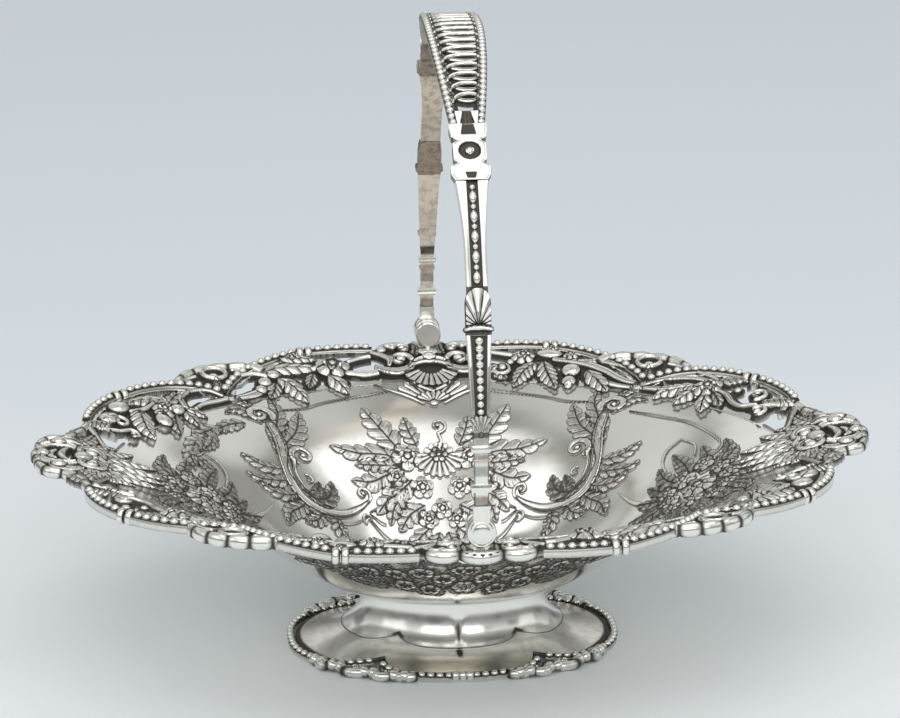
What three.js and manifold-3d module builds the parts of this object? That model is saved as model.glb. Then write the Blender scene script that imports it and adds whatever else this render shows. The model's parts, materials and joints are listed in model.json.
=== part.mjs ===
// A silver swing-handled basket on an oval pedestal foot.
// Millimetres. X runs along the basket, Y across it from hinge to hinge, and Z up.
// The origin is the centre of the foot, on the table.

import * as THREE from "three";
import { mergeVertices } from "three/addons/utils/BufferGeometryUtils.js";
import Module from "manifold-3d";

const wasm = await Module();
wasm.setup();

// Driving sizes of the bowl
const bowlHalfLength = 150;
const bowlHalfWidth = 108;
const bowlEdgeHeight = 82;
const bowlWall = 1.2;
const bowlFloorHeight = 28.6;
const bowlFloorHalf = 45;
const bowlFloorRun = 21;
const bowlFlareRun = 66;
const bowlFlareDrop = 20;
const bowlSides = 36;
const bowlSteps = 5;

// Driving sizes of the ornament that is chased into the bowl's wall
const chasedSink = 0.9;
const chasedRise = 1.3;
const chasedRibbonWidth = 4.6;
const chasedLeafWidth = 9;
const chasedFlowerRadius = 8.5;
const chasedBossRadius = 5;

// Driving sizes of the pierced border
const soldered = 0.3;
const borderRise = 7;
const borderReach = 32;
const plateThickness = 1.8;
const railWidth = 3.2;
const railHeight = 2;
const railDrop = 0.8;
const beadRadius = 1.85;
const beadPitch = 4.4;
const stemWidth = 2.3;
const flowerRadius = 6.6;
const leafLength = 14;
const leafWidth = 8;

// The rim's corners: the angle round the bowl, in degrees, and how far each lies outside its edge
const tipOut = 35;
const corner = {
  volute: { angle: 19.8, out: 21.1 },
  endJoint: { angle: 33.8, out: 27.1 },
  cusp: { angle: 51.2, out: 6.3 },
  sideJoint: { angle: 70.6, out: 32.5 },
  hingeJoint: { angle: 81.3, out: 28.9 },
};

// How far each stretch of the rim bows outwards between its corners
const bulge = { nearTip: 3.3, end: 8, side: 6, nearHinge: 1.4 };

// Half the angle that the hinge plate and the tip piece each take up
const hingeSectorHalf = 9.6;
const tipSectorHalf = 16.6;

// Driving sizes of the foot
const footHalfLength = 70;
const footHalfWidth = 51;
const footWall = 1.2;
const footSteps = 4;
const sideLobeSteps = 10;
const longLobeSteps = 9;
const footLip = 2.6;
const neckHalf = 39.5;
const neckFlare = 18;
const apronRun = 18;
const apronLift = 2.6;
const cuspAlong = 33;
const cuspAcross = 34;
const footRailWidth = 2.8;
const footRailGap = 0.55;
const footRailHeight = 3;
const footBeadRadius = 1.6;
const footBeadPitch = 4;

// Driving sizes of the hinges, which stand on the border outside the middle of each long side
const pivotOut = 28.8;
const pivotRise = 18.5;
const barrelRadius = 5.9;
const barrelLength = 7.4;
const barrelFloor = 1.2;
const pinRadius = 2;
const pinHeadRadius = 3.75;
const pinHeadThickness = 1.1;
const pinPlay = 0.5;
const eyeRadius = 6.2;
const eyeThickness = 4.6;
const hingeGap = 0.35;
const postRadius = 3;
const postFootRadius = 4.2;

// Driving sizes of the handle
const armRise = 180;
const crownHalfWidth = 12.65;
const crownHalfWidthEnd = 7.25;
const crownRailWidth = 2.4;
const crownThickness = 2.4;
const crownBeadRadius = 1.55;
const crownBeadPitch = 3.7;
const scrollBarCount = 15;
const scrollBarWidth = 1.5;
const bossHalfWidth = 7.4;
const bossRingRadius = 5;
const bossRingHeight = 1.4;
const bossStudRadius = 2.4;
const collarHalfWidth = 8.6;
const upperLegHalfWidth = 4.5;
const shellHalfWidth = 5.2;
const shellRibCount = 5;
const shellRibSpacing = 1.9;
const lowerLegHalfWidth = 5.1;
const lowerLegHalfWidthEnd = 4;
const ankleHalfWidth = 3;
const legThickness = 4.2;
const channelDepth = 1.3;
const channelWall = 1.7;
const legBeadRadius = 1.75;
const legBeadPitch = 3.9;

// Where each stretch of the handle ends, as an angle from its top
const crownEndAngle = 31;
const bossEndAngle = 41;
const upperLegEndAngle = 57;
const shellEndAngle = 63.6;
const beadsEndAngle = 74.6;
const ankleEndAngle = 86.2;
const eyeNeckEndAngle = 88.5;
const upperRingAngle = 78.7;
const lowerRingAngle = 83.9;

// Sizes that follow from those above
const pivotHeight = bowlEdgeHeight + pivotRise;
const armSpan = bowlHalfWidth + pivotOut;
const barrelMiddle = armSpan - eyeThickness / 2 - hingeGap - barrelLength / 2;
const channelFloor = legThickness / 2 - channelDepth;

const joinTolerance = 0.02;
const tall = 40;
const radians = THREE.MathUtils.degToRad;
const silver = new THREE.MeshStandardMaterial({ color: 0xd9d7d0, roughness: 0.16, metalness: 1 });

// Solids and booleans

function toSolid(geometry) {
  const bare = new THREE.BufferGeometry();
  const flat = geometry.index ? geometry.toNonIndexed() : geometry;
  bare.setAttribute("position", flat.getAttribute("position").clone());
  const merged = mergeVertices(bare, 1e-4);
  return new wasm.Manifold(
    new wasm.Mesh({
      numProp: 3,
      vertProperties: merged.attributes.position.array,
      triVerts: new Uint32Array(merged.index.array),
      tolerance: joinTolerance,
    }),
  );
}

function toGeometry(solid) {
  const mesh = solid.getMesh();
  const positions = new Float32Array(mesh.numVert * 3);
  for (let i = 0; i < mesh.numVert; i++)
    for (let k = 0; k < 3; k++) positions[i * 3 + k] = mesh.vertProperties[i * mesh.numProp + k];
  const geometry = new THREE.BufferGeometry();
  geometry.setAttribute("position", new THREE.BufferAttribute(positions, 3));
  geometry.setIndex(new THREE.BufferAttribute(new Uint32Array(mesh.triVerts), 1));
  return geometry;
}

function fuse(geometries) {
  return geometries.map(toSolid).reduce((whole, piece) => whole.add(piece));
}

// Rows of points become one closed skin: each row is a ring, and the two end rings are capped.
function skin(rings, capped = true) {
  const size = rings[0].length;
  const positions = rings.flat().flatMap((p) => [p.x, p.y, p.z]);
  const index = [];
  const rows = capped ? rings.length - 1 : rings.length;
  for (let r = 0; r < rows; r++) {
    const next = ((r + 1) % rings.length) * size;
    for (let i = 0; i < size; i++) {
      const j = (i + 1) % size;
      index.push(r * size + i, next + j, next + i);
      index.push(r * size + i, r * size + j, next + j);
    }
  }
  if (capped) {
    const outline = capOutline(rings[0]);
    const faces = THREE.ShapeUtils.triangulateShape(outline, []);
    const turned = THREE.ShapeUtils.area(outline) < 0;
    const last = (rings.length - 1) * size;
    for (const [a, b, c] of faces) {
      index.push(...(turned ? [a, b, c] : [a, c, b]));
      index.push(...(turned ? [last + a, last + c, last + b] : [last + a, last + b, last + c]));
    }
  }
  const geometry = new THREE.BufferGeometry();
  geometry.setAttribute("position", new THREE.Float32BufferAttribute(positions, 3));
  geometry.setIndex(index);
  return outward(geometry);
}

// The points of an end ring, in the plane that it lies in.
function capOutline(ring) {
  const origin = ring[0];
  const normal = new THREE.Vector3();
  for (let i = 0; i < ring.length; i++) {
    const a = ring[i].clone().sub(origin);
    const b = ring[(i + 1) % ring.length].clone().sub(origin);
    normal.add(a.cross(b));
  }
  normal.normalize();
  const u = ring[1].clone().sub(origin).normalize();
  const v = normal.clone().cross(u);
  return ring.map((p) => {
    const d = p.clone().sub(origin);
    return new THREE.Vector2(d.dot(u), d.dot(v));
  });
}

// Turns a closed skin's faces round if its volume comes out negative.
function outward(geometry) {
  const p = geometry.attributes.position;
  const index = geometry.index.array;
  const a = new THREE.Vector3();
  const b = new THREE.Vector3();
  const c = new THREE.Vector3();
  let volume = 0;
  for (let i = 0; i < index.length; i += 3) {
    a.fromBufferAttribute(p, index[i]);
    b.fromBufferAttribute(p, index[i + 1]);
    c.fromBufferAttribute(p, index[i + 2]);
    volume += a.dot(b.cross(c));
  }
  if (volume < 0)
    for (let i = 0; i < index.length; i += 3) [index[i + 1], index[i + 2]] = [index[i + 2], index[i + 1]];
  return geometry;
}

function moveVertices(geometry, move) {
  const p = geometry.attributes.position;
  const v = new THREE.Vector3();
  for (let i = 0; i < p.count; i++) {
    v.fromBufferAttribute(p, i);
    move(v);
    p.setXYZ(i, v.x, v.y, v.z);
  }
  return geometry;
}

// Flat work in plan, built near z = 0 and draped on a surface afterwards

function plate(points, bottom, top) {
  const shape = new THREE.Shape(points);
  const geometry = new THREE.ExtrudeGeometry(shape, { depth: top - bottom, bevelEnabled: false });
  return geometry.translate(0, 0, bottom);
}

// A plate with openings, each a short outline on the border.
function piercedPlate(outline, openings, bottom, top) {
  const shape = new THREE.Shape(outline);
  shape.holes = openings.map((points) => new THREE.Path(points.map(([angle, out]) => rimPoint(angle, out))));
  const geometry = new THREE.ExtrudeGeometry(shape, { depth: top - bottom, bevelEnabled: false });
  return geometry.translate(0, 0, bottom);
}

// A band of metal along a centreline, its width given along its length.
function band(line, halfWidth, bottom, top) {
  const left = [];
  const right = [];
  line.forEach((p, i) => {
    const before = line[Math.max(0, i - 1)];
    const after = line[Math.min(line.length - 1, i + 1)];
    const along = after.clone().sub(before).normalize();
    const side = new THREE.Vector2(-along.y, along.x);
    const half = typeof halfWidth === "function" ? halfWidth(i / (line.length - 1)) : halfWidth;
    left.push(p.clone().addScaledVector(side, half));
    right.push(p.clone().addScaledVector(side, -half));
  });
  return plate([...right, ...left.reverse()], bottom, top);
}

function smooth(points, steps) {
  return new THREE.SplineCurve(points).getPoints(steps);
}

// An arc from one point to another that bows out by a given height, on the side away from the centre.
function bowed(from, to, height, steps) {
  const chord = to.clone().sub(from);
  const half = chord.length() / 2;
  const radius = (half * half + height * height) / (2 * height);
  const out = new THREE.Vector2(chord.y, -chord.x).normalize();
  const middle = from.clone().add(to).multiplyScalar(0.5);
  if (out.dot(middle) < 0) out.negate();
  const centre = middle.clone().addScaledVector(out, height - radius);
  const sweep = Math.asin(half / radius);
  const along = chord.clone().normalize();
  return Array.from({ length: steps + 1 }, (_, i) => {
    const angle = -sweep + (2 * sweep * i) / steps;
    return centre
      .clone()
      .addScaledVector(along, radius * Math.sin(angle))
      .addScaledVector(out, radius * Math.cos(angle));
  });
}

// A line moved sideways to its right by a distance, each side parallel to what it was.
function offset(line, distance) {
  return line.map((p, i) => {
    const before = p.clone().sub(line[Math.max(0, i - 1)]).normalize();
    const after = line[Math.min(line.length - 1, i + 1)].clone().sub(p).normalize();
    const along = before.clone().add(after).normalize();
    const lean = before.lengthSq() > 0 ? along.dot(before) : 1;
    return p.clone().add(new THREE.Vector2(along.y, -along.x).multiplyScalar(distance / lean));
  });
}

// A scroll that winds in from a point, for the C-scrolls and volutes.
function scroll(centre, startRadius, endRadius, startAngle, turn, steps) {
  return Array.from({ length: steps + 1 }, (_, i) => {
    const share = i / steps;
    const radius = startRadius + (endRadius - startRadius) * share;
    const angle = radians(startAngle + turn * share);
    return new THREE.Vector2(centre.x + radius * Math.cos(angle), centre.y + radius * Math.sin(angle));
  });
}

// A pointed leaf with a raised midrib.
function leaf(root, angle, length, width, bottom, edge, rib) {
  const along = new THREE.Vector2(Math.cos(radians(angle)), Math.sin(radians(angle)));
  const side = new THREE.Vector2(-along.y, along.x);
  const outline = [[0, -0.14], [0.42, -0.5], [1, 0], [0.42, 0.5], [0, 0.14]];
  const ring = (narrow, z) =>
    outline.map(([share, across]) => {
      const x = root.x + along.x * share * length + side.x * across * narrow * width;
      const y = root.y + along.y * share * length + side.y * across * narrow * width;
      return new THREE.Vector3(x, y, z);
    });
  return skin([ring(1, bottom), ring(1, edge), ring(0.3, rib)]);
}

// An open flower: petals that rise from their tips to a domed eye.
function flower(centre, radius, petals, bottom, lift) {
  const count = petals * 2;
  const ring = (outer, notch, z) =>
    Array.from({ length: count }, (_, i) => {
      const angle = (i / count) * Math.PI * 2;
      const reach = radius * (i % 2 ? notch : outer);
      return new THREE.Vector3(centre.x + reach * Math.cos(angle), centre.y + reach * Math.sin(angle), z);
    });
  return skin([ring(1, 0.68, bottom), ring(1, 0.68, lift * 0.7), ring(0.42, 0.26, lift)]);
}

// A bar with a row of beads on its back: a square section at each neck, and a peak for each bead.
function beadedBar(stationAt, length, pitch, radius, width, bottom, top) {
  const count = Math.max(2, Math.round(length / pitch));
  const at = (share, across, out) => {
    const { point, side, up } = stationAt(share);
    return point.clone().addScaledVector(side, across).addScaledVector(up, out);
  };
  const points = [];
  const index = [];
  const half = width / 2;
  for (let i = 0; i <= count; i++) {
    const share = i / count;
    points.push(at(share, -half, bottom), at(share, half, bottom), at(share, half, top), at(share, -half, top));
  }
  for (let i = 0; i < count; i++) {
    const near = i * 4;
    const far = near + 4;
    const peak = points.length;
    points.push(at((i + 0.5) / count, 0, top + radius));
    for (let k = 0; k < 4; k++) {
      const next = (k + 1) % 4;
      if (k !== 2) index.push(near + k, far + next, near + next, near + k, far + k, far + next);
    }
    index.push(near + 2, peak, near + 3, near + 3, peak, far + 3);
    index.push(far + 3, peak, far + 2, far + 2, peak, near + 2);
  }
  const last = count * 4;
  index.push(0, 1, 2, 0, 2, 3, last, last + 2, last + 1, last, last + 3, last + 2);
  const geometry = new THREE.BufferGeometry();
  geometry.setAttribute("position", new THREE.Float32BufferAttribute(points.flatMap((p) => p.toArray()), 3));
  geometry.setIndex(index);
  return outward(geometry);
}

// Stations along a line in plan, at one height.
function planStations(line, height) {
  const lengths = [0];
  for (let i = 1; i < line.length; i++) lengths.push(lengths[i - 1] + line[i].distanceTo(line[i - 1]));
  const total = lengths[lengths.length - 1];
  const stationAt = (share) => {
    const target = share * total;
    let i = 1;
    while (i < line.length - 1 && lengths[i] < target) i++;
    const part = (target - lengths[i - 1]) / (lengths[i] - lengths[i - 1]);
    const p = line[i - 1].clone().lerp(line[i], part);
    const along = line[i].clone().sub(line[i - 1]).normalize();
    return {
      point: new THREE.Vector3(p.x, p.y, height),
      side: new THREE.Vector3(-along.y, along.x, 0),
      up: new THREE.Vector3(0, 0, 1),
    };
  };
  return { stationAt, total };
}

// A rail in plan with its row of beads on top.
function beadedRail(line, width, drop, height, radius, pitch) {
  const { stationAt, total } = planStations(line, 0);
  return beadedBar(stationAt, total, pitch, radius, width, -drop, height);
}

// A wedge of space in plan between two directions from the axis, each side moved in to leave some play.
function wedge(first, second, play) {
  const far = 3;
  const middle = first.clone().normalize().add(second.clone().normalize()).normalize();
  const halfAngle = Math.acos(first.dot(second) / (first.length() * second.length())) / 2;
  const apex = middle.multiplyScalar(play / Math.sin(halfAngle));
  const sides = [first, second].map((side) => side.clone().multiplyScalar(far).add(apex));
  return plate([apex, ...sides], -tall, tall);
}

// The bowl's edge and the surface of the border

// A point in plan: an angle round the bowl's edge, and a distance outside it.
function rimPoint(angle, out) {
  const t = radians(angle);
  const normal = new THREE.Vector2(bowlHalfWidth * Math.cos(t), bowlHalfLength * Math.sin(t)).normalize();
  return new THREE.Vector2(bowlHalfLength * Math.cos(t), bowlHalfWidth * Math.sin(t)).addScaledVector(
    normal,
    out,
  );
}

// The border climbs from the bowl's edge and flattens into a level rim.
function borderHeight(x, y) {
  const rho = Math.hypot(x / bowlHalfLength, y / bowlHalfWidth);
  const slope = Math.hypot(x / bowlHalfLength ** 2, y / bowlHalfWidth ** 2) / rho;
  const share = Math.min(1, Math.max(0, (rho - 1) / slope / borderReach));
  return bowlEdgeHeight + borderRise * (1 - (1 - share) ** 2);
}

function drapeOnBorder(geometry) {
  return moveVertices(geometry, (v) => {
    v.z += borderHeight(v.x, v.y);
  });
}

const rim = Object.fromEntries(Object.entries(corner).map(([name, { angle, out }]) => [name, rimPoint(angle, out)]));

// The bowl: a thin shell turned as a round dish, then drawn in to an oval

function wallCurve(lift) {
  return new THREE.CubicBezierCurve(
    new THREE.Vector2(bowlFloorHalf, bowlFloorHeight + lift),
    new THREE.Vector2(bowlFloorHalf + bowlFloorRun, bowlFloorHeight + lift),
    new THREE.Vector2(bowlHalfLength - bowlFlareRun, bowlEdgeHeight + lift - bowlFlareDrop),
    new THREE.Vector2(bowlHalfLength, bowlEdgeHeight + lift),
  ).getPoints(bowlSteps);
}

function bowl() {
  const profile = [
    new THREE.Vector2(0, bowlFloorHeight),
    ...wallCurve(0),
    ...wallCurve(bowlWall).reverse(),
    new THREE.Vector2(0, bowlFloorHeight + bowlWall),
  ];
  const geometry = new THREE.LatheGeometry(profile, bowlSides);
  geometry.rotateX(Math.PI / 2);
  geometry.scale(1, bowlHalfWidth / bowlHalfLength, 1);
  return toSolid(geometry).add(chasedQuarters()).add(chasedMiddles());
}

// The height of the facet of the bowl's inner face above a point in plan.
function bowlInside(x, y) {
  const across = (y * bowlHalfLength) / bowlHalfWidth;
  const step = (2 * Math.PI) / bowlSides;
  const middle = (Math.floor(Math.atan2(across, x) / step) + 0.5) * step;
  const reach = (x * Math.cos(middle) + across * Math.sin(middle)) / Math.cos(step / 2);
  const profile = wallCurve(bowlWall);
  let i = 1;
  while (i < profile.length - 1 && profile[i].x < reach) i++;
  const share = (reach - profile[i - 1].x) / (profile[i].x - profile[i - 1].x);
  return THREE.MathUtils.lerp(profile[i - 1].y, profile[i].y, Math.max(0, share));
}

function drapeInBowl(geometry) {
  return moveVertices(geometry, (v) => {
    v.z += bowlInside(v.x, v.y);
  });
}

// A low round boss with a flat top.
function chasedBoss(x, y, radius) {
  const geometry = new THREE.CylinderGeometry(radius * 0.6, radius, chasedRise + chasedSink, 6);
  return geometry.rotateX(Math.PI / 2).translate(x, y, (chasedRise - chasedSink) / 2);
}

function chasedLeaves(list) {
  return list.map(([x, y, turn, length]) =>
    leaf(new THREE.Vector2(x, y), turn, length, chasedLeafWidth, -chasedSink, chasedRise * 0.6, chasedRise),
  );
}

// A C-scroll between two volutes, with the leaves that spring from it, in each quarter of the bowl.
function chasedQuarters() {
  const line = [[35, 49.5], [45, 42.2], [54, 40], [62, 40.6], [68, 45.6], [71, 55], [73, 66.5], [77, 76]];
  const ribbon = smooth(
    line.map(([x, y]) => new THREE.Vector2(x, y)),
    14,
  );
  const forms = [
    band(ribbon, chasedRibbonWidth / 2, -chasedSink, chasedRise),
    chasedBoss(81, 79.5, chasedBossRadius),
    chasedBoss(36.5, 53, chasedBossRadius * 0.75),
    chasedBoss(62.6, 61.5, chasedBossRadius),
    ...chasedLeaves([[74, 54, -3, 15], [70, 70, 122, 15], [68, 40, -30, 15]]),
  ];
  const quarter = fuse(forms.map(drapeInBowl));
  const half = quarter.add(quarter.mirror([1, 0, 0]));
  return half.add(half.mirror([0, 1, 0]));
}

// A bunch of flowers in the middle of each long wall and of each end.
function chasedMiddles() {
  const flowerAt = (x, y) => flower(new THREE.Vector2(x, y), chasedFlowerRadius, 5, -chasedSink, chasedRise);
  const side = [chasedBoss(13.5, 71, chasedBossRadius), ...chasedLeaves([[20, 69, 0, 22], [17, 75, 55, 15]])];
  const end = [chasedBoss(106, 14.5, chasedBossRadius), ...chasedLeaves([[103, 17, 112, 17], [113, 12, 38, 18]])];
  const sides = fuse(side.map(drapeInBowl));
  const ends = fuse(end.map(drapeInBowl));
  const back = sides.add(sides.mirror([1, 0, 0])).add(toSolid(drapeInBowl(flowerAt(0, 64))));
  const right = ends.add(ends.mirror([0, 1, 0])).add(toSolid(drapeInBowl(flowerAt(111, 0))));
  return back.add(back.mirror([0, 1, 0])).add(right.add(right.mirror([1, 0, 0])));
}

// The border's castings, each drawn in the quarter where x and y are positive

const endRail = [
  ...bowed(rim.volute, rim.endJoint, bulge.nearTip, 4),
  ...bowed(rim.endJoint, rim.cusp, bulge.end, 7).slice(1),
];
const sideRail = [
  ...bowed(rim.cusp, rim.sideJoint, bulge.side, 7),
  ...bowed(rim.sideJoint, rim.hingeJoint, bulge.nearHinge, 3).slice(1),
];

// The border's inner edge. Its corners match the facets of the bowl's edge.
function innerEdge(firstFacet, lastFacet) {
  const step = Math.sign(lastFacet - firstFacet);
  const line = [];
  for (let i = firstFacet; i !== lastFacet + step; i += step) line.push(rimPoint((360 / bowlSides) * i, soldered));
  return line;
}

function vine(points, steps) {
  const line = smooth(
    points.map(([angle, out]) => rimPoint(angle, out)),
    steps,
  );
  return band(line, (share) => (stemWidth / 2) * (1.15 - 0.35 * share), 0, plateThickness + 0.5);
}

function leaves(list) {
  return list.map(([angle, out, turn, size]) =>
    leaf(
      rimPoint(angle, out),
      turn,
      leafLength * size,
      leafWidth * size,
      0,
      plateThickness,
      plateThickness + 1.5,
    ),
  );
}

// The casting between the tip and the cusp: a pierced plate with a flower and leaves on scrolling stems.
function endPanel() {
  const openings = [
    [[47.5, 4.5], [44.5, 12], [41.5, 13.5], [43, 7]],
    [[41.5, 18], [36.5, 21.5], [37.5, 18], [41, 15.5]],
    [[31.5, 18], [29.5, 23], [25.5, 22.5], [28, 17]],
    [[31, 6.5], [26.5, 9.5], [23.5, 5], [27, 3.5]],
  ];
  const pieces = [
    piercedPlate([...endRail, ...innerEdge(6, 1)], openings, 0, plateThickness),
    beadedRail(endRail, railWidth, railDrop, railHeight, beadRadius, beadPitch),
    vine([[49, 3], [42.5, 14.5], [36, 12]], 3),
    vine([[36, 12], [31, 11.5], [24, 17]], 3),
    flower(rimPoint(36, 11.5), flowerRadius, 5, 0, 4.2),
    bud(rimPoint(23.5, 14.5), 4.4),
    ...leaves([
      [38, 14, 118, 0.85],
      [33, 14, 62, 0.82],
      [33.5, 8, 268, 0.72],
      [42, 6, 150, 0.7],
    ]),
  ];
  const kept = wedge(rimPoint(tipSectorHalf, 20), rim.cusp, soldered / 2);
  return fuse(pieces).intersect(toSolid(kept));
}

// The casting between the cusp and the hinge plate.
function sidePanel() {
  const openings = [
    [[55.5, 3.5], [61, 5.5], [61.5, 9], [57.5, 8]],
    [[58, 16], [64, 17.5], [64.5, 23], [60.5, 20.5]],
    [[71.5, 12.5], [76.5, 13], [76.5, 17], [72.5, 16.5]],
    [[74, 23], [79.5, 24.5], [78.5, 28], [73.5, 28.5]],
  ];
  const pieces = [
    piercedPlate([...sideRail, ...innerEdge(9, 4)], openings, 0, plateThickness),
    beadedRail(sideRail, railWidth, railDrop, railHeight, beadRadius, beadPitch),
    vine([[53.5, 2.5], [57, 12], [64, 13]], 3),
    vine([[67, 14], [72, 21], [81, 20]], 3),
    flower(rimPoint(67.5, 14), flowerRadius * 1.05, 5, 0, 4.2),
    bud(rimPoint(78.5, 9), 3.6),
    ...leaves([
      [67, 18, 100, 0.85],
      [63, 10, 310, 0.85],
      [64, 18, 40, 0.7],
      [70.5, 8.5, 195, 0.85],
    ]),
  ];
  const kept = wedge(rim.cusp, rimPoint(90 - hingeSectorHalf, 20), soldered / 2);
  return fuse(pieces).intersect(toSolid(kept));
}

// A round bud that stands on the border.
function bud(centre, radius) {
  return new THREE.SphereGeometry(radius, 6, 4)
    .rotateX(Math.PI / 2)
    .scale(1, 1, 0.8)
    .translate(centre.x, centre.y, plateThickness);
}

// The casting at each end of the basket: a knot of scrolls and buds behind a fluted nose.
function tipPiece() {
  const place = (out, y) => new THREE.Vector2(bowlHalfLength + out, y);
  const outer = [[tipOut + 0.6, 0], [tipOut - 1, 3.5], [tipOut, 9], [33, 13.5], [33, 18], [29.5, 22], [17.5, 25.5]];
  const half = [...outer, [14.5, 32], [11, 40], [8, 52]].map(([out, y]) => place(out, y));
  const mirrored = half.slice(1).map((p) => new THREE.Vector2(p.x, -p.y));
  const openings = [-1, 1].map((sign) => [[5 * sign, 8], [8.5 * sign, 15], [12 * sign, 9], [8 * sign, 4.5]]);
  const side = (sign) => [
    band([place(13, 3 * sign), place(10, 12 * sign), place(18, 16 * sign), place(21, 8 * sign)], 1.6, 0, 3.4),
    band([place(28, 18 * sign), place(19, 20 * sign), place(12, 32 * sign)], 1.7, 0, 3),
    band([place(17, 3 * sign), place(33, 6 * sign)], (share) => 0.9 + 0.7 * share, 0, 3.2),
    bud(place(tipOut - 4.2, 8.6 * sign), 3),
    bud(place(24.5, 13 * sign), 3.4),
  ];
  const pieces = [
    piercedPlate([...half, ...innerEdge(3, -3), ...mirrored.reverse()], openings, 0, plateThickness),
    plate([place(29, -10), place(tipOut, -9), place(tipOut, 9), place(29, 10)], -railDrop, plateThickness),
    bud(place(12, 0), 4.4),
    ...side(1),
    ...side(-1),
  ];
  const kept = wedge(rimPoint(-tipSectorHalf, 20), rimPoint(tipSectorHalf, 20), soldered / 2);
  return fuse(pieces).intersect(toSolid(kept));
}

// The shell scroll that stands outside each cusp and bridges the two beaded rails.
function shellScroll() {
  const outline = smooth(
    [[61, 17.5], [60, 24.5], [57, 28.5], [53.8, 31.2], [50.5, 30.6], [47.4, 26.8], [45.5, 20.5]].map(
      ([angle, out]) => rimPoint(angle, out),
    ),
    8,
  );
  const eye = rimPoint(53.6, 24.6);
  const pieces = [
    plate([...outline, rimPoint(51.4, 9.4)], -railDrop, plateThickness),
    band(scroll(eye, 6.4, 6.4, 0, 330, 7), 1.15, 0, plateThickness + 1.7),
    new THREE.SphereGeometry(3.3, 6, 4).rotateX(Math.PI / 2).scale(1, 1, 0.6).translate(eye.x, eye.y, plateThickness),
  ];
  const centre = new THREE.Vector2(0, 0);
  const grown = railWidth / 2 + soldered;
  const taken = [endRail, sideRail].map((line) => plate([...offset(line, grown), centre], -tall, tall));
  return fuse(pieces).subtract(fuse(taken));
}

// The casting under each hinge: a palmette between two C-scrolls, drawn for the side where y is positive.
function hingePlate() {
  const place = (x, out) => new THREE.Vector2(x, bowlHalfWidth + out);
  const half = [[0, 35.4], [5, 34.8], [9.4, 33], [11, 31.4], [16, 32.4], [22, 31], [27, 28]];
  const right = half.map(([x, out]) => place(x, out));
  const left = right.slice(1).map((p) => new THREE.Vector2(-p.x, p.y));
  const openings = [];
  for (const sign of [-1, 1]) openings.push([[90 - 4 * sign, 12], [90 - 6.5 * sign, 8], [90 - 7 * sign, 14]]);
  const side = (sign) => [
    band([place(22 * sign, 25), place(17 * sign, 17.5), place(12 * sign, 15), place(8.6 * sign, 19)], 1.7, 0, 3.4),
    band([place(15 * sign, 23), place(17.5 * sign, 26.5), place(21 * sign, 25)], 1.4, 0, 3.2),
    bud(place(14.5 * sign, 22), 2.6),
    band([place(1.5 * sign, 14), place(4 * sign, 3)], (share) => 1 + 0.8 * share, 0, 3),
    band([place(4.5 * sign, 14), place(11 * sign, 4)], (share) => 1 + 0.8 * share, 0, 3),
  ];
  const pieces = [
    piercedPlate([...right.reverse(), ...left, ...innerEdge(12, 6)], openings, 0, plateThickness),
    ...side(1),
    ...side(-1),
  ];
  const kept = wedge(rimPoint(90 - hingeSectorHalf, 20), rimPoint(90 + hingeSectorHalf, 20), soldered / 2);
  return fuse(pieces).intersect(toSolid(kept));
}

// The foot: a flared oval stem that opens into four lobes, each edged with beads

const footProfile = new THREE.CubicBezierCurve(
  new THREE.Vector2(neckHalf, bowlFloorHeight - soldered),
  new THREE.Vector2(neckHalf + 1, bowlFloorHeight - neckFlare),
  new THREE.Vector2(footHalfLength - apronRun, footLip + apronLift),
  new THREE.Vector2(footHalfLength, footLip),
);

// Where along the foot's profile a given distance from the axis lies.
function profileShare(reach) {
  let low = 0;
  let high = 1;
  for (let i = 0; i < 30; i++) {
    const middle = (low + high) / 2;
    if (footProfile.getPoint(middle).x < reach) low = middle;
    else high = middle;
  }
  return (low + high) / 2;
}

function footReach(x, y) {
  return footHalfLength * Math.hypot(x / footHalfLength, y / footHalfWidth);
}

function footHeight(x, y) {
  const reach = Math.min(footHalfLength, Math.max(neckHalf + 0.01, footReach(x, y)));
  return footProfile.getPoint(profileShare(reach)).y;
}

// One lobe's edge as part of a rounded oval, from one cusp to the other.
function lobe(alongX) {
  const [centre, half, reach, power, steps] = alongX
    ? [cuspAlong, cuspAcross, footHalfLength - cuspAlong, 2.5, sideLobeSteps]
    : [cuspAcross, cuspAlong, footHalfWidth - cuspAcross, 2.2, longLobeSteps];
  return Array.from({ length: steps + 1 }, (_, i) => {
    const angle = -Math.PI / 2 + (Math.PI * i) / steps;
    const c = Math.abs(Math.cos(angle)) ** (2 / power);
    const s = Math.sign(Math.sin(angle)) * Math.abs(Math.sin(angle)) ** (2 / power);
    return alongX ? new THREE.Vector2(centre + reach * c, half * s) : new THREE.Vector2(-half * s, centre + reach * c);
  });
}

function footStem() {
  const right = lobe(true);
  const back = lobe(false);
  const edge = [
    ...right,
    ...back.slice(1),
    ...right.map((p) => p.clone().negate()).slice(1),
    ...back.map((p) => p.clone().negate()).slice(1, -1),
  ];
  const steps = footSteps;
  const rings = [];
  for (let k = 0; k <= 2 * steps + 1; k++) {
    const inside = k > steps;
    const row = inside ? 2 * steps + 1 - k : k;
    rings.push(
      edge.map((p) => {
        const share = (profileShare(footReach(p.x, p.y)) * row) / steps;
        const { x: reach, y: height } = footProfile.getPoint(share);
        const angle = Math.atan2(p.y / footHalfWidth, p.x / footHalfLength);
        const shrink = inside ? footWall * (1 - share) : 0;
        const drop = inside ? footWall * Math.min(1, share * 3) : 0;
        return new THREE.Vector3(
          (reach - shrink) * Math.cos(angle),
          ((reach - shrink) * Math.sin(angle) * footHalfWidth) / footHalfLength,
          height - drop,
        );
      }),
    );
  }
  return skin(rings, false);
}

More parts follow.
